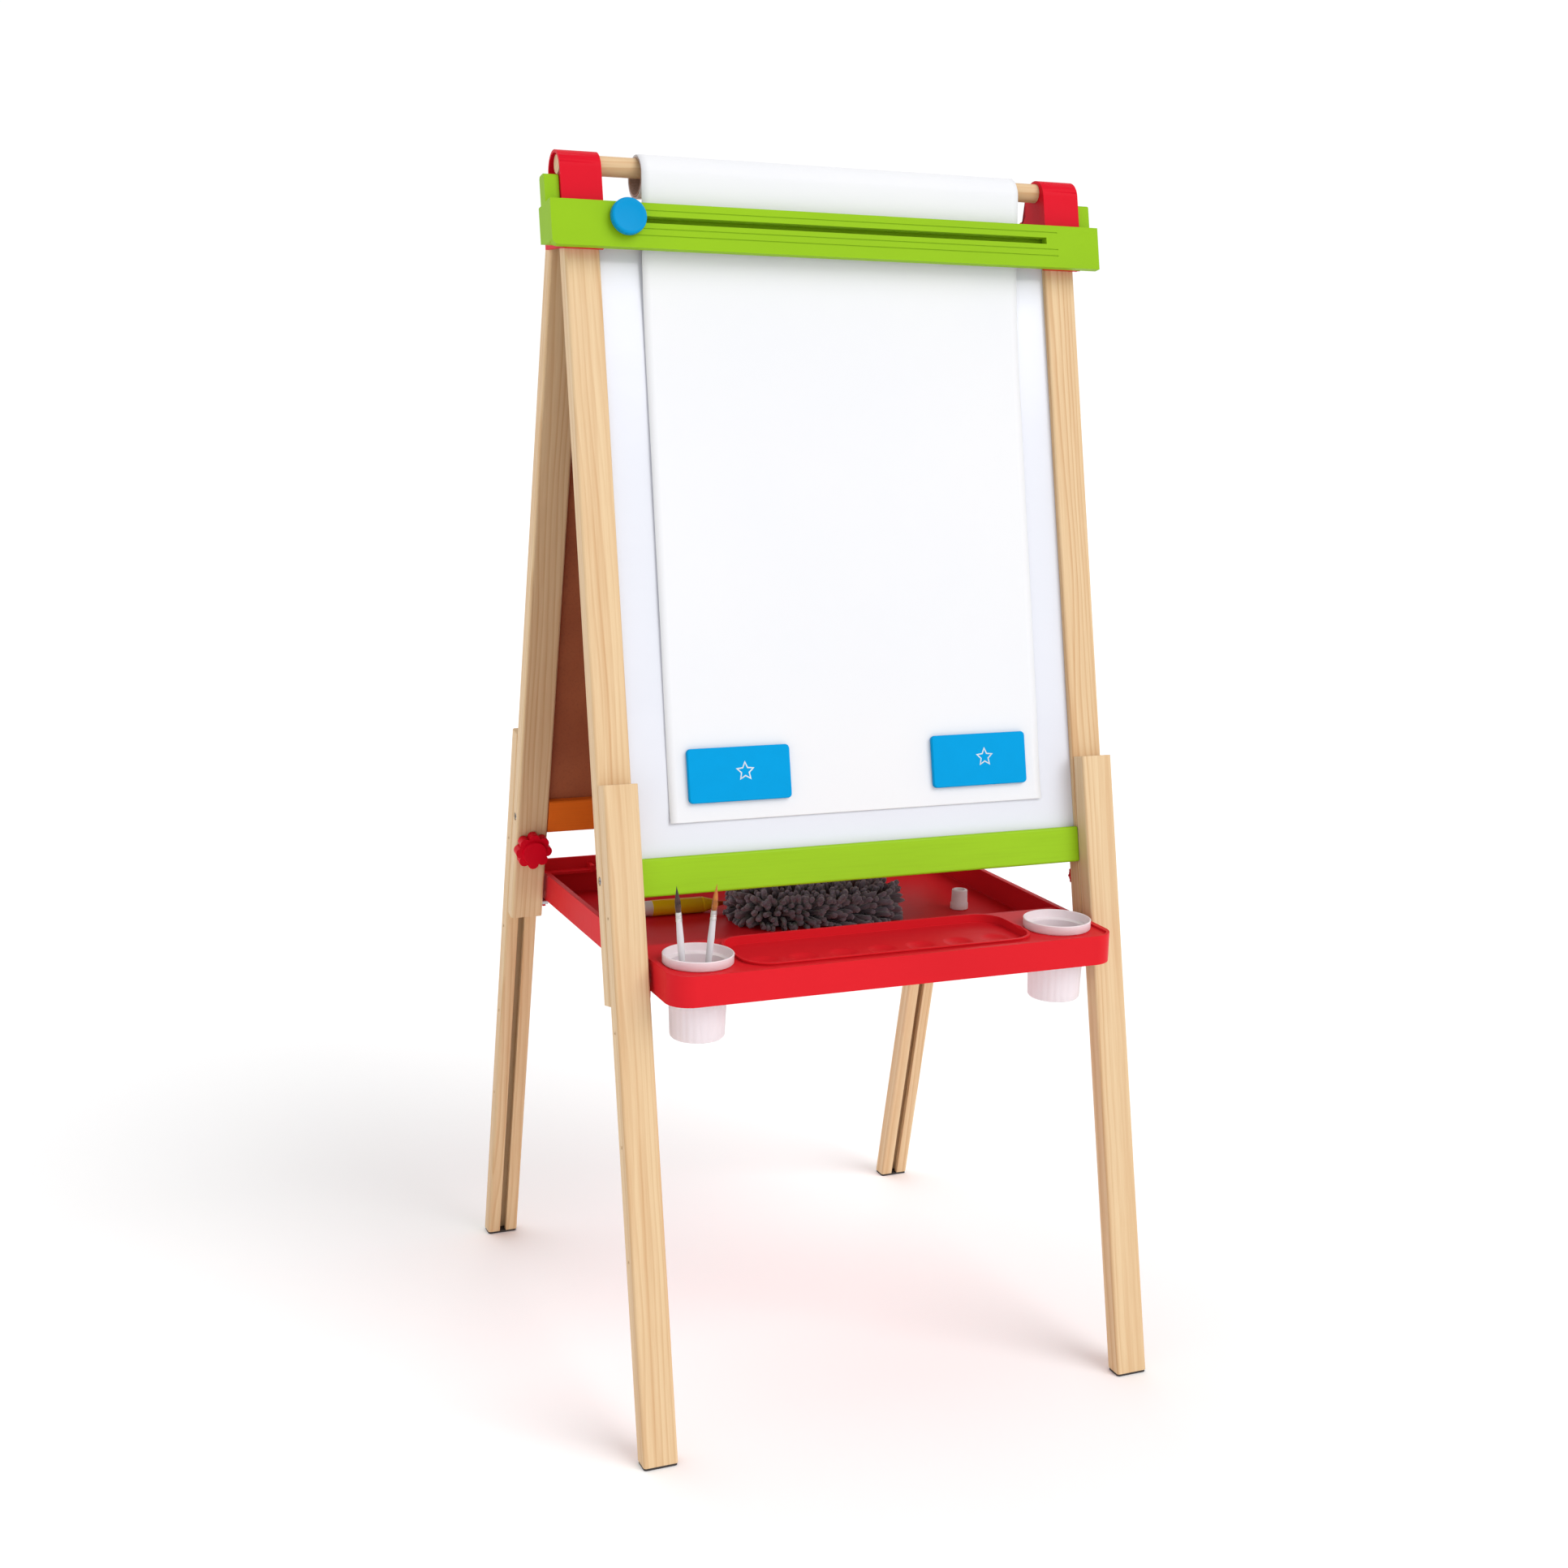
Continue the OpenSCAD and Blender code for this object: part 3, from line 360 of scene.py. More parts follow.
def hardboard_tone(look):
    """Colour of pressed wood fibre, and the fibres as a height."""
    speck = look.noise(420, detail=4, roughness=0.7)
    cloud = look.noise(14, detail=3)
    brown = look.mix(look.stretch(cloud, 0.3, 0.7), rgb(168, 88, 50), rgb(186, 104, 62))
    return look.mix(look.stretch(speck, 0.5, 0.8, 0, 0.5), brown, rgb(126, 62, 34)), speck


def hardboard():
    look = Look("hardboard", roughness=0.6)
    tone, speck = hardboard_tone(look)
    look.link(tone, "Base Color")
    look.link(look.stretch(speck, 0.3, 0.7, 0.5, 0.72), "Roughness")
    look.bump(speck, 0.08 * MM, 0.6)
    return look.material


def chalk_panel():
    """Chalk paint with wiped dust on the outer face, bare hardboard on the inner face and edges."""
    look = Look("chalk_panel", roughness=0.85)
    facing = look.node("VectorMath", {0: look.node("TexCoord").outputs["Normal"], 1: tuple(BACK_OUT)},
                       operation="DOT_PRODUCT").outputs["Value"]
    painted = look.stretch(facing, 0.7, 0.8)
    tone, speck = hardboard_tone(look)
    swipe = look.noise(14, look.mapped(scale=(0.3, 1, 1.5), rotation=(0, 0.5, 0)), detail=6, roughness=0.62)
    grit = look.noise(900, detail=3)
    wiped = look.stretch(swipe, 0.40, 0.78, 0.04, 0.24)
    dust = look.maths("MULTIPLY", wiped, look.stretch(grit, 0.3, 0.7, 0.4, 1))
    slate = look.mix(dust, rgb(38, 46, 42), rgb(176, 182, 178))
    look.link(look.mix(painted, tone, slate), "Base Color")
    look.link(look.stretch(painted, 0, 1, 0.62, 0.9), "Roughness")
    look.bump(look.maths("ADD", speck, grit), 0.06 * MM, 0.6)
    return look.material


def paper():
    """Uncoated drawing paper: felt marks and soft mottling."""
    look = Look("paper", roughness=0.85, specular_ior_level=0.25)
    felt = look.noise(1300, detail=3)
    mottle = look.noise(5, detail=3)
    look.link(look.mix(look.stretch(mottle, 0.3, 0.7), rgb(253, 253, 255), rgb(250, 251, 255)), "Base Color")
    look.link(look.stretch(felt, 0.3, 0.7, 0.72, 0.9), "Roughness")
    look.bump(felt, 0.02 * MM, 0.4)
    return look.material


def board_core():
    """Spiral-wound grey-brown core board."""
    look = Look("core_board", roughness=0.85)
    inputs = {"Vector": look.mapped(rotation=(0.6, 0.5, 0)), "Scale": 9.0, "Distortion": 0.6}
    wind = look.node("TexWave", inputs, bands_direction="X").outputs["Fac"]
    speck = look.noise(700, detail=4, roughness=0.7)
    tone = look.mix(look.stretch(speck, 0.3, 0.75), rgb(206, 180, 166), rgb(164, 136, 120))
    look.link(look.mix(look.stretch(wind, 0.92, 1.0, 0, 0.5), tone, rgb(98, 76, 62)), "Base Color")
    look.link(look.stretch(speck, 0.3, 0.7, 0.78, 0.95), "Roughness")
    look.bump(look.maths("ADD", speck, wind), 0.06 * MM, 0.6)
    return look.material


def steel(name, tone=(205, 207, 212), roughness=0.3):
    """Zinc-plated or ground steel with a brushed sparkle."""
    look = Look(name, metallic=1.0, roughness=roughness)
    brushed = look.noise(900, look.mapped(scale=(1, 0.15, 1)), detail=3)
    cloud = look.noise(160, detail=2)
    look.link(look.mix(look.stretch(cloud, 0.3, 0.7), rgb(*tone), rgb(*scaled(tone, 0.86))), "Base Color")
    look.link(look.stretch(brushed, 0.3, 0.7, roughness - 0.08, roughness + 0.14), "Roughness")
    look.bump(brushed, 0.02 * MM, 0.5)
    return look.material


def rubber(name, colour, roughness=0.8, vary=0.25, gloss=0.35):
    """A dull skin of rubber or flexible magnet."""
    look = Look(name, roughness=roughness, specular_ior_level=gloss)
    grain = look.noise(1500, detail=3)
    cloud = look.noise(60, detail=3)
    base = rgb(*colour)
    look.link(look.mix(look.stretch(cloud, 0.3, 0.7), scaled(base, 1 - vary), base), "Base Color")
    look.link(look.stretch(grain, 0.3, 0.7, roughness - 0.1, min(1, roughness + 0.1)), "Roughness")
    look.bump(grain, 0.05 * MM, 0.7)
    return look.material


def frosted(name, tray_glow_tint=(255, 234, 238)):
    """Translucent polypropylene: milky, with a soft skin, and a pink tint that is painted light from the red tray
    showing through it.
    """
    look = Look(name, roughness=0.4, transmission_weight=0.25, specular_ior_level=0.25)
    milk = look.noise(30, detail=3)
    # The pink tint is painted light: the red tray's glow through the milky plastic.
    base = tuple(min(1, value) for value in scaled(rgb(*tray_glow_tint), 1.42))
    look.link(look.mix(look.stretch(milk, 0.3, 0.7), base, scaled(base, 0.96)), "Base Color")
    look.link(look.stretch(milk, 0.3, 0.7, 0.34, 0.46), "Roughness")
    return look.material


def chenille():
    """Microfibre chenille with a fuzzy skin, its colour running from painted shade at the roots, where the fingers
    crowd, to painted light on the tips.
    """
    look = Look("chenille", roughness=0.95, sheen_weight=0.6, sheen_roughness=0.5)
    along = look.node("Attribute", attribute_name="tip").outputs["Fac"]
    fuzz = look.noise(1500, detail=4, roughness=0.7)
    strand = look.noise(260, detail=2)
    # Painted shade at the roots and painted light on the tips, along each finger.
    shaded_roots_lit_tips = look.mix(look.stretch(along, 0.0, 1.0), rgb(52, 46, 56), rgb(146, 136, 150))
    look.link(look.mix(look.stretch(fuzz, 0.4, 0.75, 0, 0.5), shaded_roots_lit_tips, rgb(84, 76, 90)), "Base Color")
    look.link(look.stretch(fuzz, 0.3, 0.7, 0.85, 1.0), "Roughness")
    look.bump(look.maths("ADD", fuzz, strand), 0.5 * MM, 0.9)
    return look.material


def hair(name, root, tip):
    """Brush hair, darker at the ferrule or at the tip."""
    look = Look(name, roughness=0.5, sheen_weight=0.2)
    along = look.node("Attribute", attribute_name="tip").outputs["Fac"]
    strand = look.noise(2600, look.mapped(scale=(1, 1, 0.08)), detail=2)
    tone = look.mix(look.stretch(along, 0.1, 0.9), rgb(*root), rgb(*tip))
    look.link(look.mix(look.stretch(strand, 0.4, 0.7, 0, 0.5), tone, rgb(*scaled(root, 0.5))), "Base Color")
    look.link(look.stretch(strand, 0.3, 0.7, 0.42, 0.6), "Roughness")
    look.bump(strand, 0.05 * MM, 0.8)
    return look.material


# ---------- wooden frames and legs ----------

WOOD_EDGE = 0.6 * MM
FIRST_STICK_SEED = 11
RAIL_GREEN = (164, 213, 32)
RAIL_ORANGE = (255, 126, 38)


def wooden_pieces():
    sticks = []
    for face in FACES:
        for side in SIDES:
            sticks.append((f"{face}_leg_{side}", face))
            sticks.append((f"lower_leg_{face}_{side}", face))
        sticks.append((f"{face}_top_rail", "across"))
    sticks.append(("paper_dowel", "across"))
    for seed, (node, grain) in enumerate(sticks, FIRST_STICK_SEED):
        refined(node, pine("pine_" + node, grain, node, seed), WOOD_EDGE)
    refined("front_lower_rail", painted_wood("green_paint", RAIL_GREEN, "across"), WOOD_EDGE)
    refined("back_lower_rail", painted_wood("orange_paint", RAIL_ORANGE, "across"), WOOD_EDGE)


def board_pieces():
    shown = {"whiteboard_face": enamel(), "whiteboard_backing": hardboard(), "chalkboard": chalk_panel()}
    for node, material in shown.items():
        dress(node, material)


def dress(node, material):
    """Gives a CAD node that stays as it is its finish."""
    mesh = frame["nodes"][node].data
    mesh.materials.clear()
    mesh.materials.append(material)


def fastener_pieces():
    zinc = steel("zinc_steel")
    for node, slot in SLOT_OF.items():
        if slot == "zinc_steel":
            dress(node, zinc)
    pads = rubber("foot_rubber", (74, 68, 66))
    for face in FACES:
        for side in SIDES:
            dress(f"foot_pad_{face}_{side}", pads)


# ---------- plastic pieces ----------

KNOB_EDGE = {"front": 0.4 * MM, "back": 0.9 * MM}
RED = (234, 28, 50)
GREEN = (158, 206, 40)
BLUE = (0, 160, 222)
TRAY_RED = (236, 48, 56)
MAGNET_BLUE = (0, 167, 234)


def bracket_and_rail_pieces():
    red = plastic("red_plastic", RED, 0.42)
    for side in SIDES:
        refined(f"hinge_bracket_{side}", red, 0.7 * MM)
    refined("cutter_rail", plastic("green_plastic", GREEN, 0.42), 0.8 * MM)
    for face in FACES:
        for side in SIDES:
            refined(f"knob_{face}_{side}", red, KNOB_EDGE[face], smallest=8 * MM)
    refined("tray", plastic("tray_plastic", TRAY_RED, 0.42, gloss=0.06), 0.5 * MM, smallest=6 * MM)
    dress("cutter_slider", rubber("slider_plastic", (44, 44, 48), 0.55))
    dress("cutter_blade", steel("blade_steel", (222, 224, 228), 0.2))


def cutter_grip():
    """Round grip with a dished face and a finely ribbed rim, on its neck."""
    low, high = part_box("cutter_knob")
    radius = (high.x - low.x) / 2
    depths = [point.dot(OUT) for point in points_of("cutter_knob")]
    heel, tip = min(depths), max(depths)
    centre = middle("cutter_knob")
    origin = centre - OUT * centre.dot(OUT)
    thick = 7.4 * MM
    neck_r = 2.6 * MM
    front_edge = 2.2 * MM
    back_edge = 1.2 * MM
    rib_end = 0.2 * MM
    dish = 1.0 * MM
    inner = tip - thick
    ribs = 28
    rib_deep = 0.35 * MM

    def ribbed(angle, at, height):
        on_rim = at > radius - 0.6 * MM and inner + front_edge < height < tip - front_edge
        return -rib_deep * (0.5 + 0.5 * math.cos(ribs * angle)) if on_rim else 0

    profile = [(0, heel), (neck_r, heel), (neck_r, inner), (radius - back_edge, inner)]
    profile += arc((radius - back_edge, inner + back_edge), back_edge, -80, 0, 3)
    profile += [(radius, inner + front_edge + rib_end), (radius, tip - front_edge - rib_end)]
    profile += [(radius, tip - front_edge)]
    profile += arc((radius - front_edge, tip - front_edge), front_edge, 8, 90, 6)
    profile += [(radius * 0.72, tip - 0.5 * dish), (radius * 0.4, tip - 0.9 * dish), (0, tip - dish)]
    bm = bmesh.new()
    lathe(bm, profile, turns=6 * ribs, ripple=ribbed)
    blue = plastic("blue_plastic", BLUE, 0.36, gloss=0.06)
    add_piece("cutter_grip", bm, ["cutter_knob"], blue, place=basis(origin, OUT))


def magnet_pieces():
    """Flexible magnets with rounded edges and a plain five-pointed star printed off centre."""
    blue = rubber("magnet_blue", MAGNET_BLUE, 0.5, vary=0.03, gloss=0.04)
    ink = rubber("star_print", (236, 244, 250), 0.5)
    aside, above, sunk = 5 * MM, 2 * MM, 0.03 * MM
    for side in SIDES:
        node = "magnet_" + side
        magnet = refined(node, blue, 1.1 * MM, segments=4)
        face = max(v.co.dot(OUT) for v in magnet.data.vertices)
        centre = middle(node)
        spot = centre + OUT * (face - centre.dot(OUT) - sunk) + X * aside + UP * above
        bm = bmesh.new()
        star_outline(bm, far=9.5 * MM, near=4.6 * MM, line=1.5 * MM, height=0.09 * MM)
        add_piece("star_" + side, bm, [node], ink, smooth=30, place=basis(spot, OUT))


def star_outline(bm, far, near, line, height):
    """A raised outline of a five-pointed star. Its inner edge is drawn in until the line looks even."""
    points = 5
    drawn_in = {"point": 1.6, "hollow": 0.9}
    loops = []
    for grow in (0, -line):
        ring = []
        for k in range(2 * points):
            radius = far + drawn_in["point"] * grow if k % 2 == 0 else near + drawn_in["hollow"] * grow
            angle = math.pi / 2 + math.pi * k / points
            ring.append((radius * math.cos(angle), radius * math.sin(angle)))
        loops.append(ring)
    levels = [[[bm.verts.new((x, y, z)) for x, y in loop] for loop in loops] for z in (0, height)]
    (low_out, low_in), (top_out, top_in) = levels
    for k in range(2 * points):
        after = (k + 1) % (2 * points)
        for first, second in ((top_out, top_in), (low_in, low_out), (low_out, top_out), (top_in, low_in)):
            bm.faces.new((first[k], first[after], second[after], second[k]))


# ---------- cups, brushes, marker, stopper ----------

BRUSH_NECK = 2.5 * MM
FIRST_TUFT_SEED = 31
# Shares of a tuft's length and root width; a width of 0 is a tip, which strays a little
TUFT_OUTLINE = ((0, 1.0), (0.22, 1.2), (0.42, 1.1), (0.68, 0.62), (0.87, 0.24), (1, 0))
GOLDEN_TURN = 0.381966 * 2 * math.pi


def cup_pieces():
    # Clear plastic, with the default pink of painted light from the red tray.
    milky = frosted("clear_plastic")
    for side in SIDES:
        node = "cup_" + side
        low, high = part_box(node)
        centre = middle(node)
        bm = bmesh.new()
        cup_shape(bm, low.z, high.z, (high.x - low.x) / 2)
        add_piece("cup_shape_" + side, bm, [node], milky, smooth=50,
                  place=Matrix.Translation((centre.x, centre.y, 0)))


def cup_shape(bm, foot, top, collar_r):
    """A thin fluted wall, a wide collar with a rolled lip, and a shoulder that hangs in the shelf."""
    wall = 1.5 * MM
    lip = wall / 2
    foot_r, neck_r = 24.5 * MM, 27 * MM
    seat = top - 9 * MM                # underside of the shoulder
    arch = 1.0 * MM                    # the bottom's rise inside its foot ring
    flutes, flute_deep = 24, 0.55 * MM
    profile = [(0, foot + arch), (foot_r - 4 * MM, foot + arch), (foot_r - 3.2 * MM, foot)]
    profile += [(foot_r - 1.4 * MM, foot), (foot_r, foot + 1.6 * MM), (neck_r, seat - 0.4 * MM)]
    profile += [(neck_r + 0.8 * MM, seat), (collar_r - 1.2 * MM, seat)]
    profile += [(collar_r - 0.3 * MM, seat + 1.0 * MM), (collar_r - 0.2 * MM, top - lip)]
    profile += arc((collar_r - lip - 0.05 * MM, top - lip), lip, 0, 180, 6)
    profile += [(collar_r - 2.0 * wall + 0.9 * MM, seat + 2.4 * MM), (collar_r - 2.6 * MM, seat + wall)]
    profile += [(neck_r + 0.2 * MM, seat + wall), (neck_r - wall, seat + 0.2 * MM)]
    inner_floor = foot + wall + arch
    profile += [(foot_r - wall, foot + 3 * MM), (foot_r - 2.6 * MM, inner_floor), (0, inner_floor)]

    def fluted(angle, radius, height):
        on_body = foot + 5 * MM < height < seat - 0.2 * MM or height < foot + 2 * MM
        outside = radius > foot_r - 0.2 * MM
        return -flute_deep * (0.5 + 0.5 * math.cos(flutes * angle)) ** 2 if on_body and outside else 0

    lathe(bm, profile, turns=8 * flutes, ripple=fluted)


def stopper_piece():
    """A small tapered plug with a waist and a dished top."""
    low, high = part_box("stopper")
    wide = (high.x - low.x) / 2
    narrow = wide - 1.1 * MM
    tall = high.z - low.z
    edge = 1.0 * MM
    rim, dish = 2.4 * MM, 3 * MM
    profile = [(0, low.z)] + arc((wide - edge, low.z + edge), edge, -90, 0, 4)
    profile += [(wide - 0.1 * MM, low.z + 0.3 * tall), (narrow + 0.3 * MM, low.z + 0.36 * tall)]
    profile += arc((narrow - edge, high.z - edge), edge, 0, 90, 4)
    profile += [(narrow - rim, high.z), (narrow - rim - 0.5 * MM, high.z - dish), (0, high.z - dish)]
    bm = bmesh.new()
    lathe(bm, profile, turns=48)
    centre = middle("stopper")
    # Its faint pink is painted light from the red tray it lies in.
    add_piece("stopper_shape", bm, ["stopper"], frosted("stopper_plastic", (252, 240, 244)), smooth=50,
              place=Matrix.Translation((centre.x, centre.y, 0)))


def ends_of(node, axis):
    """The two end points of a slim CAD node along its axis."""
    points = points_of(node)
    centre = middle(node)
    reach = [(point - centre).dot(axis) for point in points]
    mean = sum(points, Vector()) / len(points)
    line = mean - axis * (mean - centre).dot(axis)
    return line + axis * min(reach), line + axis * max(reach)


def brush_pieces():
    finishes = [plastic("handle_lacquer", (240, 236, 240), 0.22), steel("ferrule", (252, 250, 248), 0.55)]
    tufts = {"left": hair("dark_hair", (86, 48, 34), (40, 22, 18)),
             "right": hair("orange_hair", (206, 120, 40), (226, 134, 30))}
    for seed, side in enumerate(SIDES, FIRST_TUFT_SEED):
        axis = Vector(JOINTS["brush_pull_" + side]["axis"]).normalized()
        handle, bristles = f"brush_{side}_handle", f"brush_{side}_bristles"
        foot, neck = ends_of(handle, axis)
        tip = ends_of(bristles, axis)[1]
        bm = brush_stem((neck - foot).length)
        add_piece(f"brush_{side}_stem", bm, [handle], finishes, place=basis(foot, axis))
        bm = tuft((tip - neck).length, BRUSH_NECK - 0.4 * MM, seed)
        add_piece(f"brush_{side}_tuft", bm, [bristles], tufts[side], smooth=180, place=basis(neck, axis))


def brush_stem(length):
    """A lacquered handle that swells towards a twice crimped ferrule."""
    ferrule = 9 * MM
    body_r, foot_r = 3.1 * MM, 1.5 * MM
    bead = BRUSH_NECK + 0.3 * MM
    start = length - ferrule
    wood = [(0, 0), (foot_r * 0.7, 0.2 * MM), (foot_r, 1.2 * MM), (foot_r * 1.25, 0.3 * length)]
    wood += [(body_r * 0.93, 0.62 * length), (body_r, 0.78 * length), (BRUSH_NECK + 0.1 * MM, start)]
    metal = [(BRUSH_NECK + 0.1 * MM, start), (BRUSH_NECK + 0.35 * MM, start + 0.2 * MM)]
    for crimp in (3.4, 5.2):
        metal += [(bead, start + (crimp - 0.6) * MM), (BRUSH_NECK, start + crimp * MM)]
        metal += [(bead, start + (crimp + 0.6) * MM)]
    metal += [(BRUSH_NECK - 0.1 * MM, length - 0.1 * MM), (BRUSH_NECK - 0.5 * MM, length), (0, length)]
    bm = bmesh.new()
    for index, profile in enumerate((wood, metal)):
        lathe(bm, profile, turns=28, material=index)
    bmesh.ops.remove_doubles(bm, verts=bm.verts, dist=WELD)
    return bm


def tuft(length, root_r, seed):
    """A flame of hair: a pointed heart with strands lying on it."""
    draw = random.Random(seed)
    sunk = 0.4 * MM
    strands = 54
    bm = bmesh.new()
    tip = bm.verts.layers.float.new("tip")
    heart = [(0, -sunk), (root_r, -sunk), (root_r * 1.22, 0.22 * length), (root_r * 1.12, 0.42 * length),
             (root_r * 0.62, 0.68 * length), (root_r * 0.22, 0.87 * length), (0, 0.96 * length)]
    lathe(bm, heart, turns=18)
    for k in range(strands):
        angle = k * GOLDEN_TURN
        reach = draw.uniform(0.86, 1.0) * length
        thick = draw.uniform(0.16, 0.26) * MM
        path = []
        for part, width in TUFT_OUTLINE:
            stray = 0.05 * draw.random()
            radius = root_r * (width or stray)
            path.append(Vector((radius * math.cos(angle), radius * math.sin(angle), part * reach)))
        last = len(path) - 1
        sweep(bm, path, [thick * (1 - 0.8 * (i / last) ** 2) for i in range(len(path))], 5)
    for vert in bm.verts:
        vert[tip] = clamp(vert.co.z / length)
    return bm


def sweep(bm, path, radii, sides):
    """A closed tube along a path, with its own radius at each point."""
    rings = []
    for i, point in enumerate(path):
        ahead = path[min(i + 1, len(path) - 1)] - path[max(i - 1, 0)]
        turn = ahead.to_track_quat("Z", "X")
        ring = []
        for k in range(sides):
            angle = 2 * math.pi * k / sides
            offset = turn @ Vector((radii[i] * math.cos(angle), radii[i] * math.sin(angle), 0))
            ring.append(bm.verts.new(point + offset))
        rings.append(ring)
    close_tube(bm, rings)
    return rings


def marker_piece():
    """Paint marker on its side: white end plug, yellow barrel, ribbed shoulder and an orange tip."""
    points = points_of("marker")
    low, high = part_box("marker")
    barrel_r = (high.z - low.z) / 2
    left = min(points, key=lambda point: point.x)
    right = max(points, key=lambda point: point.x)
    end_face = [point for point in points if abs(point.x - left.x) < barrel_r * 0.2]
    start = sum(end_face, Vector()) / len(end_face)
    axis = (right - start).normalized()
    length = (right - start).length
    plug, barrel, shoulder = 11 * MM, 66 * MM, 80 * MM   # where each stretch ends, from the plug's end
    plug_r = barrel_r - 0.4 * MM
    groove_r = barrel_r - 0.5 * MM
    nose_r = 3.2 * MM
    white = [(0, 0), (barrel_r - 1.4 * MM, 0), (groove_r, 0.8 * MM), (plug_r, plug)]
    yellow = [(plug_r, plug), (barrel_r, plug + 0.3 * MM), (barrel_r, barrel - 4 * MM)]
    yellow += [(groove_r, barrel - 3.4 * MM), (groove_r, barrel - 2.4 * MM)]
    yellow += [(barrel_r - 0.1 * MM, barrel - 1.8 * MM), (barrel_r - 0.6 * MM, barrel)]
    yellow += [(4.6 * MM, shoulder - 4 * MM), (nose_r, shoulder)]
    orange = [(nose_r, shoulder), (2.9 * MM, shoulder + 0.3 * MM), (1.6 * MM, length - 1.6 * MM)]
    orange += [(0.9 * MM, length - 0.3 * MM), (0, length - 0.1 * MM)]
    bm = bmesh.new()
    for index, profile in enumerate((white, yellow, orange)):
        lathe(bm, profile, turns=48, material=index)
    bmesh.ops.remove_doubles(bm, verts=bm.verts, dist=WELD)
    finishes = [plastic("marker_white", (244, 240, 236), 0.3), plastic("marker_yellow", (255, 216, 40), 0.28)]
    finishes.append(plastic("marker_orange", (240, 112, 24), 0.35))
    add_piece("marker_shape", bm, ["marker"], finishes, place=basis(start, axis, Z))


# ---------- chenille duster ----------

Pad = namedtuple("Pad", "straight radius foot top room")
PAD_SIDES = 64
FINGER_LONG = 21 * MM
FINGER_PITCH = 6.3 * MM
# Rows of fingers round the sides: the share up the pad, and how much they lift
SIDE_ROWS = ((0.98, 0.75), (0.8, 0.5), (0.6, 0.3), (0.38, 0.1), (0.12, -0.05))


def duster_piece():
    """Chenille pad: a stitched core with soft fingers all over its top and sides."""
    low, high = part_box("duster")
    middle_xy = Vector(((low.x + high.x) / 2, (low.y + high.y) / 2, 0))
    flat = [Vector((point.x, point.y, 0)) - middle_xy for point in points_of("duster")]
    along = max(flat, key=lambda v: v.length)
    along = along if along.x > 0 else -along
    across = Vector((-along.y, along.x, 0)).normalized()
    half_x, half_y = along.length, max(v.dot(across) for v in flat)
    room = (Vector((-half_x, -half_y, low.z)), Vector((half_x, half_y, high.z)))
    pad = Pad(half_x - half_y, half_y - 0.72 * FINGER_LONG, low.z, high.z - 0.78 * FINGER_LONG, room)
    draw = random.Random(5)
    bm = bmesh.new()
    tip = bm.verts.layers.float.new("tip")
    pad_core(bm, pad)
    # The core takes the darkest painted shade, as it lies under the fingers.
    for vert in bm.verts:
        vert[tip] = 0.0
    top_fingers(bm, tip, draw, pad)
    side_fingers(bm, tip, draw, pad)
    duster = add_piece("duster_chenille", bm, ["duster"], chenille(), smooth=180,
                       place=basis(middle_xy, Z, along))


def pad_core(bm, pad):
    """The low round-ended block that the fingers are sewn to."""
    outline = ((0.4, pad.foot), (0.94, pad.foot), (1.0, pad.foot + 2 * MM), (1.0, pad.top - 5 * MM),
               (0.93, pad.top - 1.5 * MM), (0.6, pad.top))
    rings = []
    for size, height in outline:
        ring = []
        for k in range(PAD_SIDES):
            ring.append(bm.verts.new(stadium_point(pad.straight, pad.radius * size, k / PAD_SIDES, height)))
        rings.append(ring)
    close_tube(bm, rings)


def top_fingers(bm, tip, draw, pad):
    """Staggered rows over the top, leaning out towards the pad's edge."""
    rows = int(2 * pad.radius / FINGER_PITCH) + 1
    for row in range(rows + 1):
        y = -pad.radius + 2 * pad.radius * row / rows
        reach = pad.straight + math.sqrt(max(pad.radius ** 2 - y ** 2, 0))
        count = max(2, int(2 * reach / FINGER_PITCH))
        for k in range(count + 1):
            x = -reach + 2 * reach * (k + 0.5 * (row % 2)) / (count + 0.5)
            outward = Vector((x - clamp(x, -pad.straight, pad.straight), y, 0)) / pad.radius
            lean = outward * 1.15 + Vector((draw.uniform(-0.42, 0.42), draw.uniform(-0.42, 0.42), 0))
            root = Vector((x, y, 0)) * 0.97
            root.z = pad.top - 2 * MM
            add_finger(bm, tip, draw, root, (lean + Z).normalized(), pad.room)


def side_fingers(bm, tip, draw, pad):
    """Rows round the sides that lift near the top and lie out flat at the bottom."""
    around = 2 * (2 * pad.straight + math.pi * pad.radius)
    count = int(around / (FINGER_PITCH * 1.05))
    for level, lift in SIDE_ROWS:
        height = pad.foot + level * (pad.top - pad.foot)
        for k in range(count):
            share = (k + 0.5 * draw.random()) / count
            root = stadium_point(pad.straight, pad.radius - 1 * MM, share, height)
            outside = stadium_point(pad.straight, pad.radius + 1 * MM, share, height)
            way = (outside - root).normalized()
            stray = (draw.uniform(-0.3, 0.3), draw.uniform(-0.3, 0.3), lift + draw.uniform(-0.25, 0.25))
            add_finger(bm, tip, draw, root, (way + Vector(stray)).normalized(), pad.room)


def stadium_point(straight, radius, share, height):
    """A point a share of the way round an outline of two straights and two half circles."""
    side = 2 * straight
    bend = math.pi * radius
    along = share * 2 * (side + bend)
    flip = 1
    if along > side + bend:
        along -= side + bend
        flip = -1
    if along < side:
        offset = Vector((straight - along, radius, 0))
    else:
        angle = math.pi / 2 + (along - side) / radius
        offset = Vector((-straight + radius * math.cos(angle), radius * math.sin(angle), 0))
    return flip * offset + Z * height


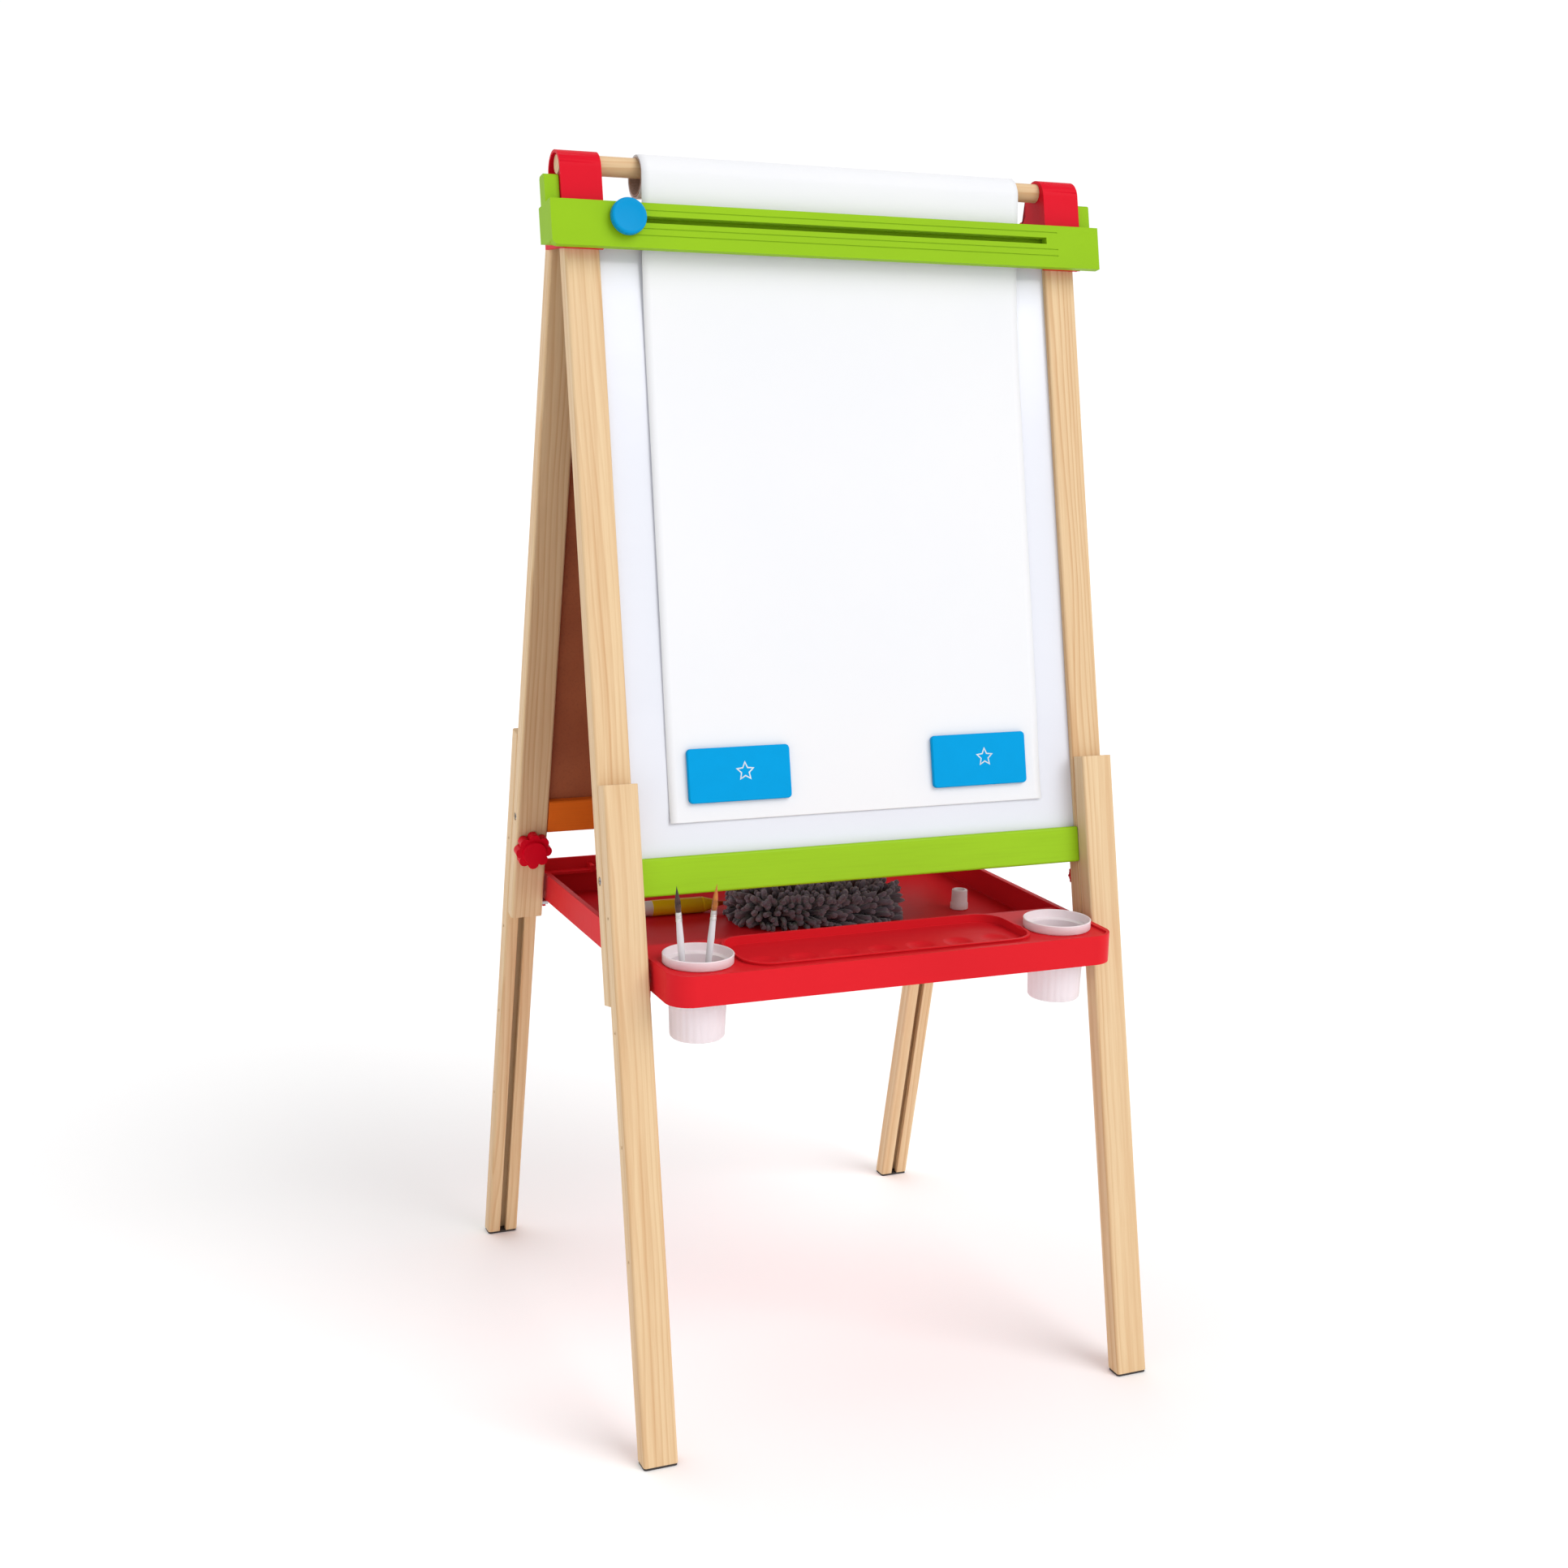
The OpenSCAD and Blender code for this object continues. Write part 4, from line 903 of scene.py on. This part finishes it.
def add_finger(bm, tip, draw, root, way, room):
    """One chenille finger: a knobbly, slightly bent tube with a round end, kept inside the pad's room."""
    thick = draw.uniform(2.3, 2.9) * MM
    length = FINGER_LONG * draw.uniform(0.82, 1.08)
    bend = Vector((draw.uniform(-1, 1), draw.uniform(-1, 1), draw.uniform(-0.9, 0.1))) * 0.28
    steps = 9
    shortest_step = 0.3 * MM
    edge = thick * 0.8
    path, radii = [], []
    for i in range(steps + 1):
        part = i / steps
        point = root + way * length * part + bend * length * part ** 2
        for axis in range(3):
            point[axis] = clamp(point[axis], room[0][axis] + edge, room[1][axis] - edge)
        path.append(point)
        knobble = 1 + 0.13 * math.sin(part * 21 + 40 * thick / MM)
        cap = math.sqrt(max(0.05, 1 - max(0, (part - 0.84) / 0.165) ** 2))
        radii.append(thick * knobble * cap * (0.86 + 0.2 * part))
    for i in range(1, len(path)):
        if (path[i] - path[i - 1]).length < shortest_step:
            path[i] = path[i - 1] + Z * shortest_step
    # Each ring's share along the finger sets its colour, from painted shade at the root to painted light at the
    # tip.
    for i, ring in enumerate(sweep(bm, path, radii, 8)):
        for vert in ring:
            vert[tip] = (i / steps) ** 1.3


# ---------- paper ----------

# The sheet's route: degrees round the roll, then mm out from the white face and up from its own lower end
SHEET_WRAP = (62, 44, 26, 8, -8)
SHEET_PATH = ((9.6, 526), (7.7, 518), (6.9, 509), (5.6, 496), (2.7, 467), (1.4, 437), (0.8, 392), (0.5, 262),
              (0.45, 60), (1.3, 0))


def board_frame():
    """Origin on the white face, level with the lower end of the hanging sheet."""
    front = max(point.dot(OUT) for point in points_of("whiteboard_face"))
    foot = min(point.dot(UP) for point in points_of("paper_sheet"))
    return OUT * front + UP * foot


def paper_pieces():
    stock = paper()
    low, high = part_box("paper_roll")
    centre = middle("paper_roll")
    outer = (high.z - low.z) / 2
    core_r = (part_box("roll_core")[1].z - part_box("roll_core")[0].z) / 2
    roll_pieces(stock, centre, low.x, high.x, outer, core_r)
    hanging_sheet(stock, centre, high.x - low.x, outer)


def roll_pieces(stock, centre, x0, x1, outer, core_r):
    """Turns of paper wound on a board core, with the ends of the turns a little out of line."""
    turns, around = 5, 72
    leaf_share = 0.6   # of each turn's pitch, so that a dark line shows between turns
    clear = 0.03 * MM
    inset = 0.6 * MM
    pitch = (outer - core_r - 0.05 * MM) / (turns + leaf_share)
    leaf = leaf_share * pitch
    draw = random.Random(3)
    slip = [draw.uniform(-0.5, 0.5) * MM for _ in range(turns + 2)]
    bm = bmesh.new()
    rings = []
    for k in range(turns * around + 1):
        angle = 2 * math.pi * k / around
        radius = core_r + clear + pitch * k / around
        turn = k / around
        drift = slip[int(turn)] * (1 - turn % 1) + slip[int(turn) + 1] * (turn % 1)
        left, right = x0 + inset + drift, x1 - inset + drift
        ring = []
        for r, x in ((radius, left), (radius, right), (radius + leaf, right), (radius + leaf, left)):
            ring.append(bm.verts.new((x, centre.y + r * math.cos(angle), centre.z + r * math.sin(angle))))
        rings.append(ring)
    close_tube(bm, rings)
    add_piece("paper_roll_turns", bm, ["paper_roll"], stock, smooth=30)
    refined("roll_core", board_core(), 0.25 * MM, segments=2)


def hanging_sheet(stock, centre, width, outer):
    """The free end: off the roll's front, behind the cutter rail, down over the white face."""
    origin = board_frame()
    roll_out, roll_up = (centre - origin).dot(OUT), (centre - origin).dot(UP)
    wound = outer + 0.35 * MM
    route = []
    for angle in map(math.radians, SHEET_WRAP):
        route.append((roll_out + wound * math.cos(angle), roll_up + wound * math.sin(angle)))
    route += [(out * MM, up * MM) for out, up in SHEET_PATH]
    path = smooth_route([Vector((out, up, 0)) for out, up in route], 3)
    across = 48
    bm = bmesh.new()
    rows = []
    for point in path:
        row = []
        for k in range(across + 1):
            side = 2 * k / across - 1
            lift = sheet_lift(side, point.y / MM) * MM
            aside = sheet_drift(point.y / MM) * MM + side * width / 2
            row.append(bm.verts.new(origin + X * aside + OUT * (point.x + lift) + UP * point.y))
        rows.append(row)
    for first, second in zip(rows, rows[1:]):
        for k in range(across):
            bm.faces.new((first[k], first[k + 1], second[k + 1], second[k]))
    sheet = add_piece("paper_sheet_hanging", bm, ["paper_sheet"], stock, smooth=60)
    thickness = sheet.modifiers.new("thickness", "SOLIDIFY")
    thickness.thickness = 0.12 * MM
    thickness.offset = 0


def sheet_lift(side, up):
    """How far, in mm, the sheet stands off its route: it curls at its sides, and the magnets hold it down."""
    rail, rail_fade = 496, 120
    magnets, magnet_fade, end_fade = 76, 25, 12
    below_rail = clamp((rail - up) / rail_fade)
    held = clamp((magnets - up) / magnet_fade) * clamp(up / end_fade)
    flutter = noise.noise(Vector((side * 2.1, up * 0.009, 3.7)))
    curl = abs(side) ** 6 * (1.1 + 0.8 * flutter) * (1.35 if side < 0 else 0.8)
    return below_rail * (curl + (0.5 + 0.5 * flutter) * 0.35) * (1 - 0.9 * held)


def sheet_drift(up):
    """How far, in mm, the sheet hangs to the right: it leaves the roll a little out of square."""
    foot, slant, straight = 0.2, 3.4, 506
    return foot + slant * clamp(up / straight)


def smooth_route(points, rounds):
    """Rounds a route's corners by cutting them, with its ends kept."""
    for _ in range(rounds):
        cut = [points[0]]
        for a, b in zip(points, points[1:]):
            cut += [a.lerp(b, 0.25), a.lerp(b, 0.75)]
        points = cut + [points[-1]]
    return points


# ---------- floor, light and camera ----------

def stage():
    """A plain pale floor, a hair below the feet."""
    half_size = 40
    bm = bmesh.new()
    bmesh.ops.create_grid(bm, x_segments=1, y_segments=1, size=half_size)
    mesh = bpy.data.meshes.new("floor")
    bm.to_mesh(mesh)
    bm.free()
    floor = bpy.data.objects.new("floor", mesh)
    floor.location.z = -0.3 * MM
    bpy.context.scene.collection.objects.link(floor)
    look = Look("floor", roughness=0.9)
    look.link(look.mix(look.noise(1.5), (0.955, 0.955, 0.96), (0.97, 0.97, 0.97)), "Base Color")
    mesh.materials.append(look.material)


def sun(name, towards, level, spread):
    """A soft distant light from a direction; level is what it adds to a white face square to it."""
    light = bpy.data.lights.new(name, "SUN")
    light.energy = level * math.pi
    light.angle = math.radians(spread)
    lamp = bpy.data.objects.new(name, light)
    lamp.rotation_euler = Vector(towards).to_track_quat("Z", "Y").to_euler()
    bpy.context.scene.collection.objects.link(lamp)


def lights():
    """A white studio: bright at eye level, dimmer overhead, a broad key at the right, a weak one behind."""
    scene = bpy.context.scene
    world = bpy.data.worlds.new("studio")
    world.use_nodes = True
    tree = world.node_tree
    background = tree.nodes["Background"]
    background.inputs["Color"].default_value = (1, 1, 1, 1)
    direction = tree.nodes.new("ShaderNodeTexCoord").outputs["Generated"]
    height = tree.nodes.new("ShaderNodeSeparateXYZ")
    level = tree.nodes.new("ShaderNodeMapRange")
    level.interpolation_type = "SMOOTHSTEP"
    for socket, value in (("From Min", 0.22), ("From Max", 0.75), ("To Min", 1.03), ("To Max", 0.5)):
        level.inputs[socket].default_value = value
    tree.links.new(direction, height.inputs[0])
    tree.links.new(height.outputs["Z"], level.inputs["Value"])
    tree.links.new(level.outputs["Result"], background.inputs["Strength"])
    scene.world = world
    sun("key", (0.42, -0.7, 0.72), 0.5, 42)
    sun("back", (-0.25, 0.55, 0.9), 0.26, 70)
    scene.view_settings.view_transform = "Standard"


def camera():
    """Camera at a standing child's eye, to the left of the whiteboard side."""
    data = bpy.data.cameras.new("camera")
    data.sensor_width = 36
    data.lens = 46.284
    data.clip_end = 60
    place = Matrix.Translation((-0.7858, -1.7762, 0.9399))
    yaw, pitch, roll = (math.radians(a) for a in (23.238, -11.618, 1.345))
    look_level = math.pi / 2
    turn = Matrix.Rotation(-yaw, 4, "Z") @ Matrix.Rotation(look_level + pitch, 4, "X")
    cam = bpy.data.objects.new("camera", data)
    cam.matrix_world = place @ turn @ Matrix.Rotation(roll, 4, "Z")
    bpy.context.scene.collection.objects.link(cam)
    bpy.context.scene.camera = cam


wooden_pieces()
board_pieces()
fastener_pieces()
bracket_and_rail_pieces()
cutter_grip()
magnet_pieces()
cup_pieces()
stopper_piece()
brush_pieces()
marker_piece()
duster_piece()
paper_pieces()
stage()
lights()
camera()
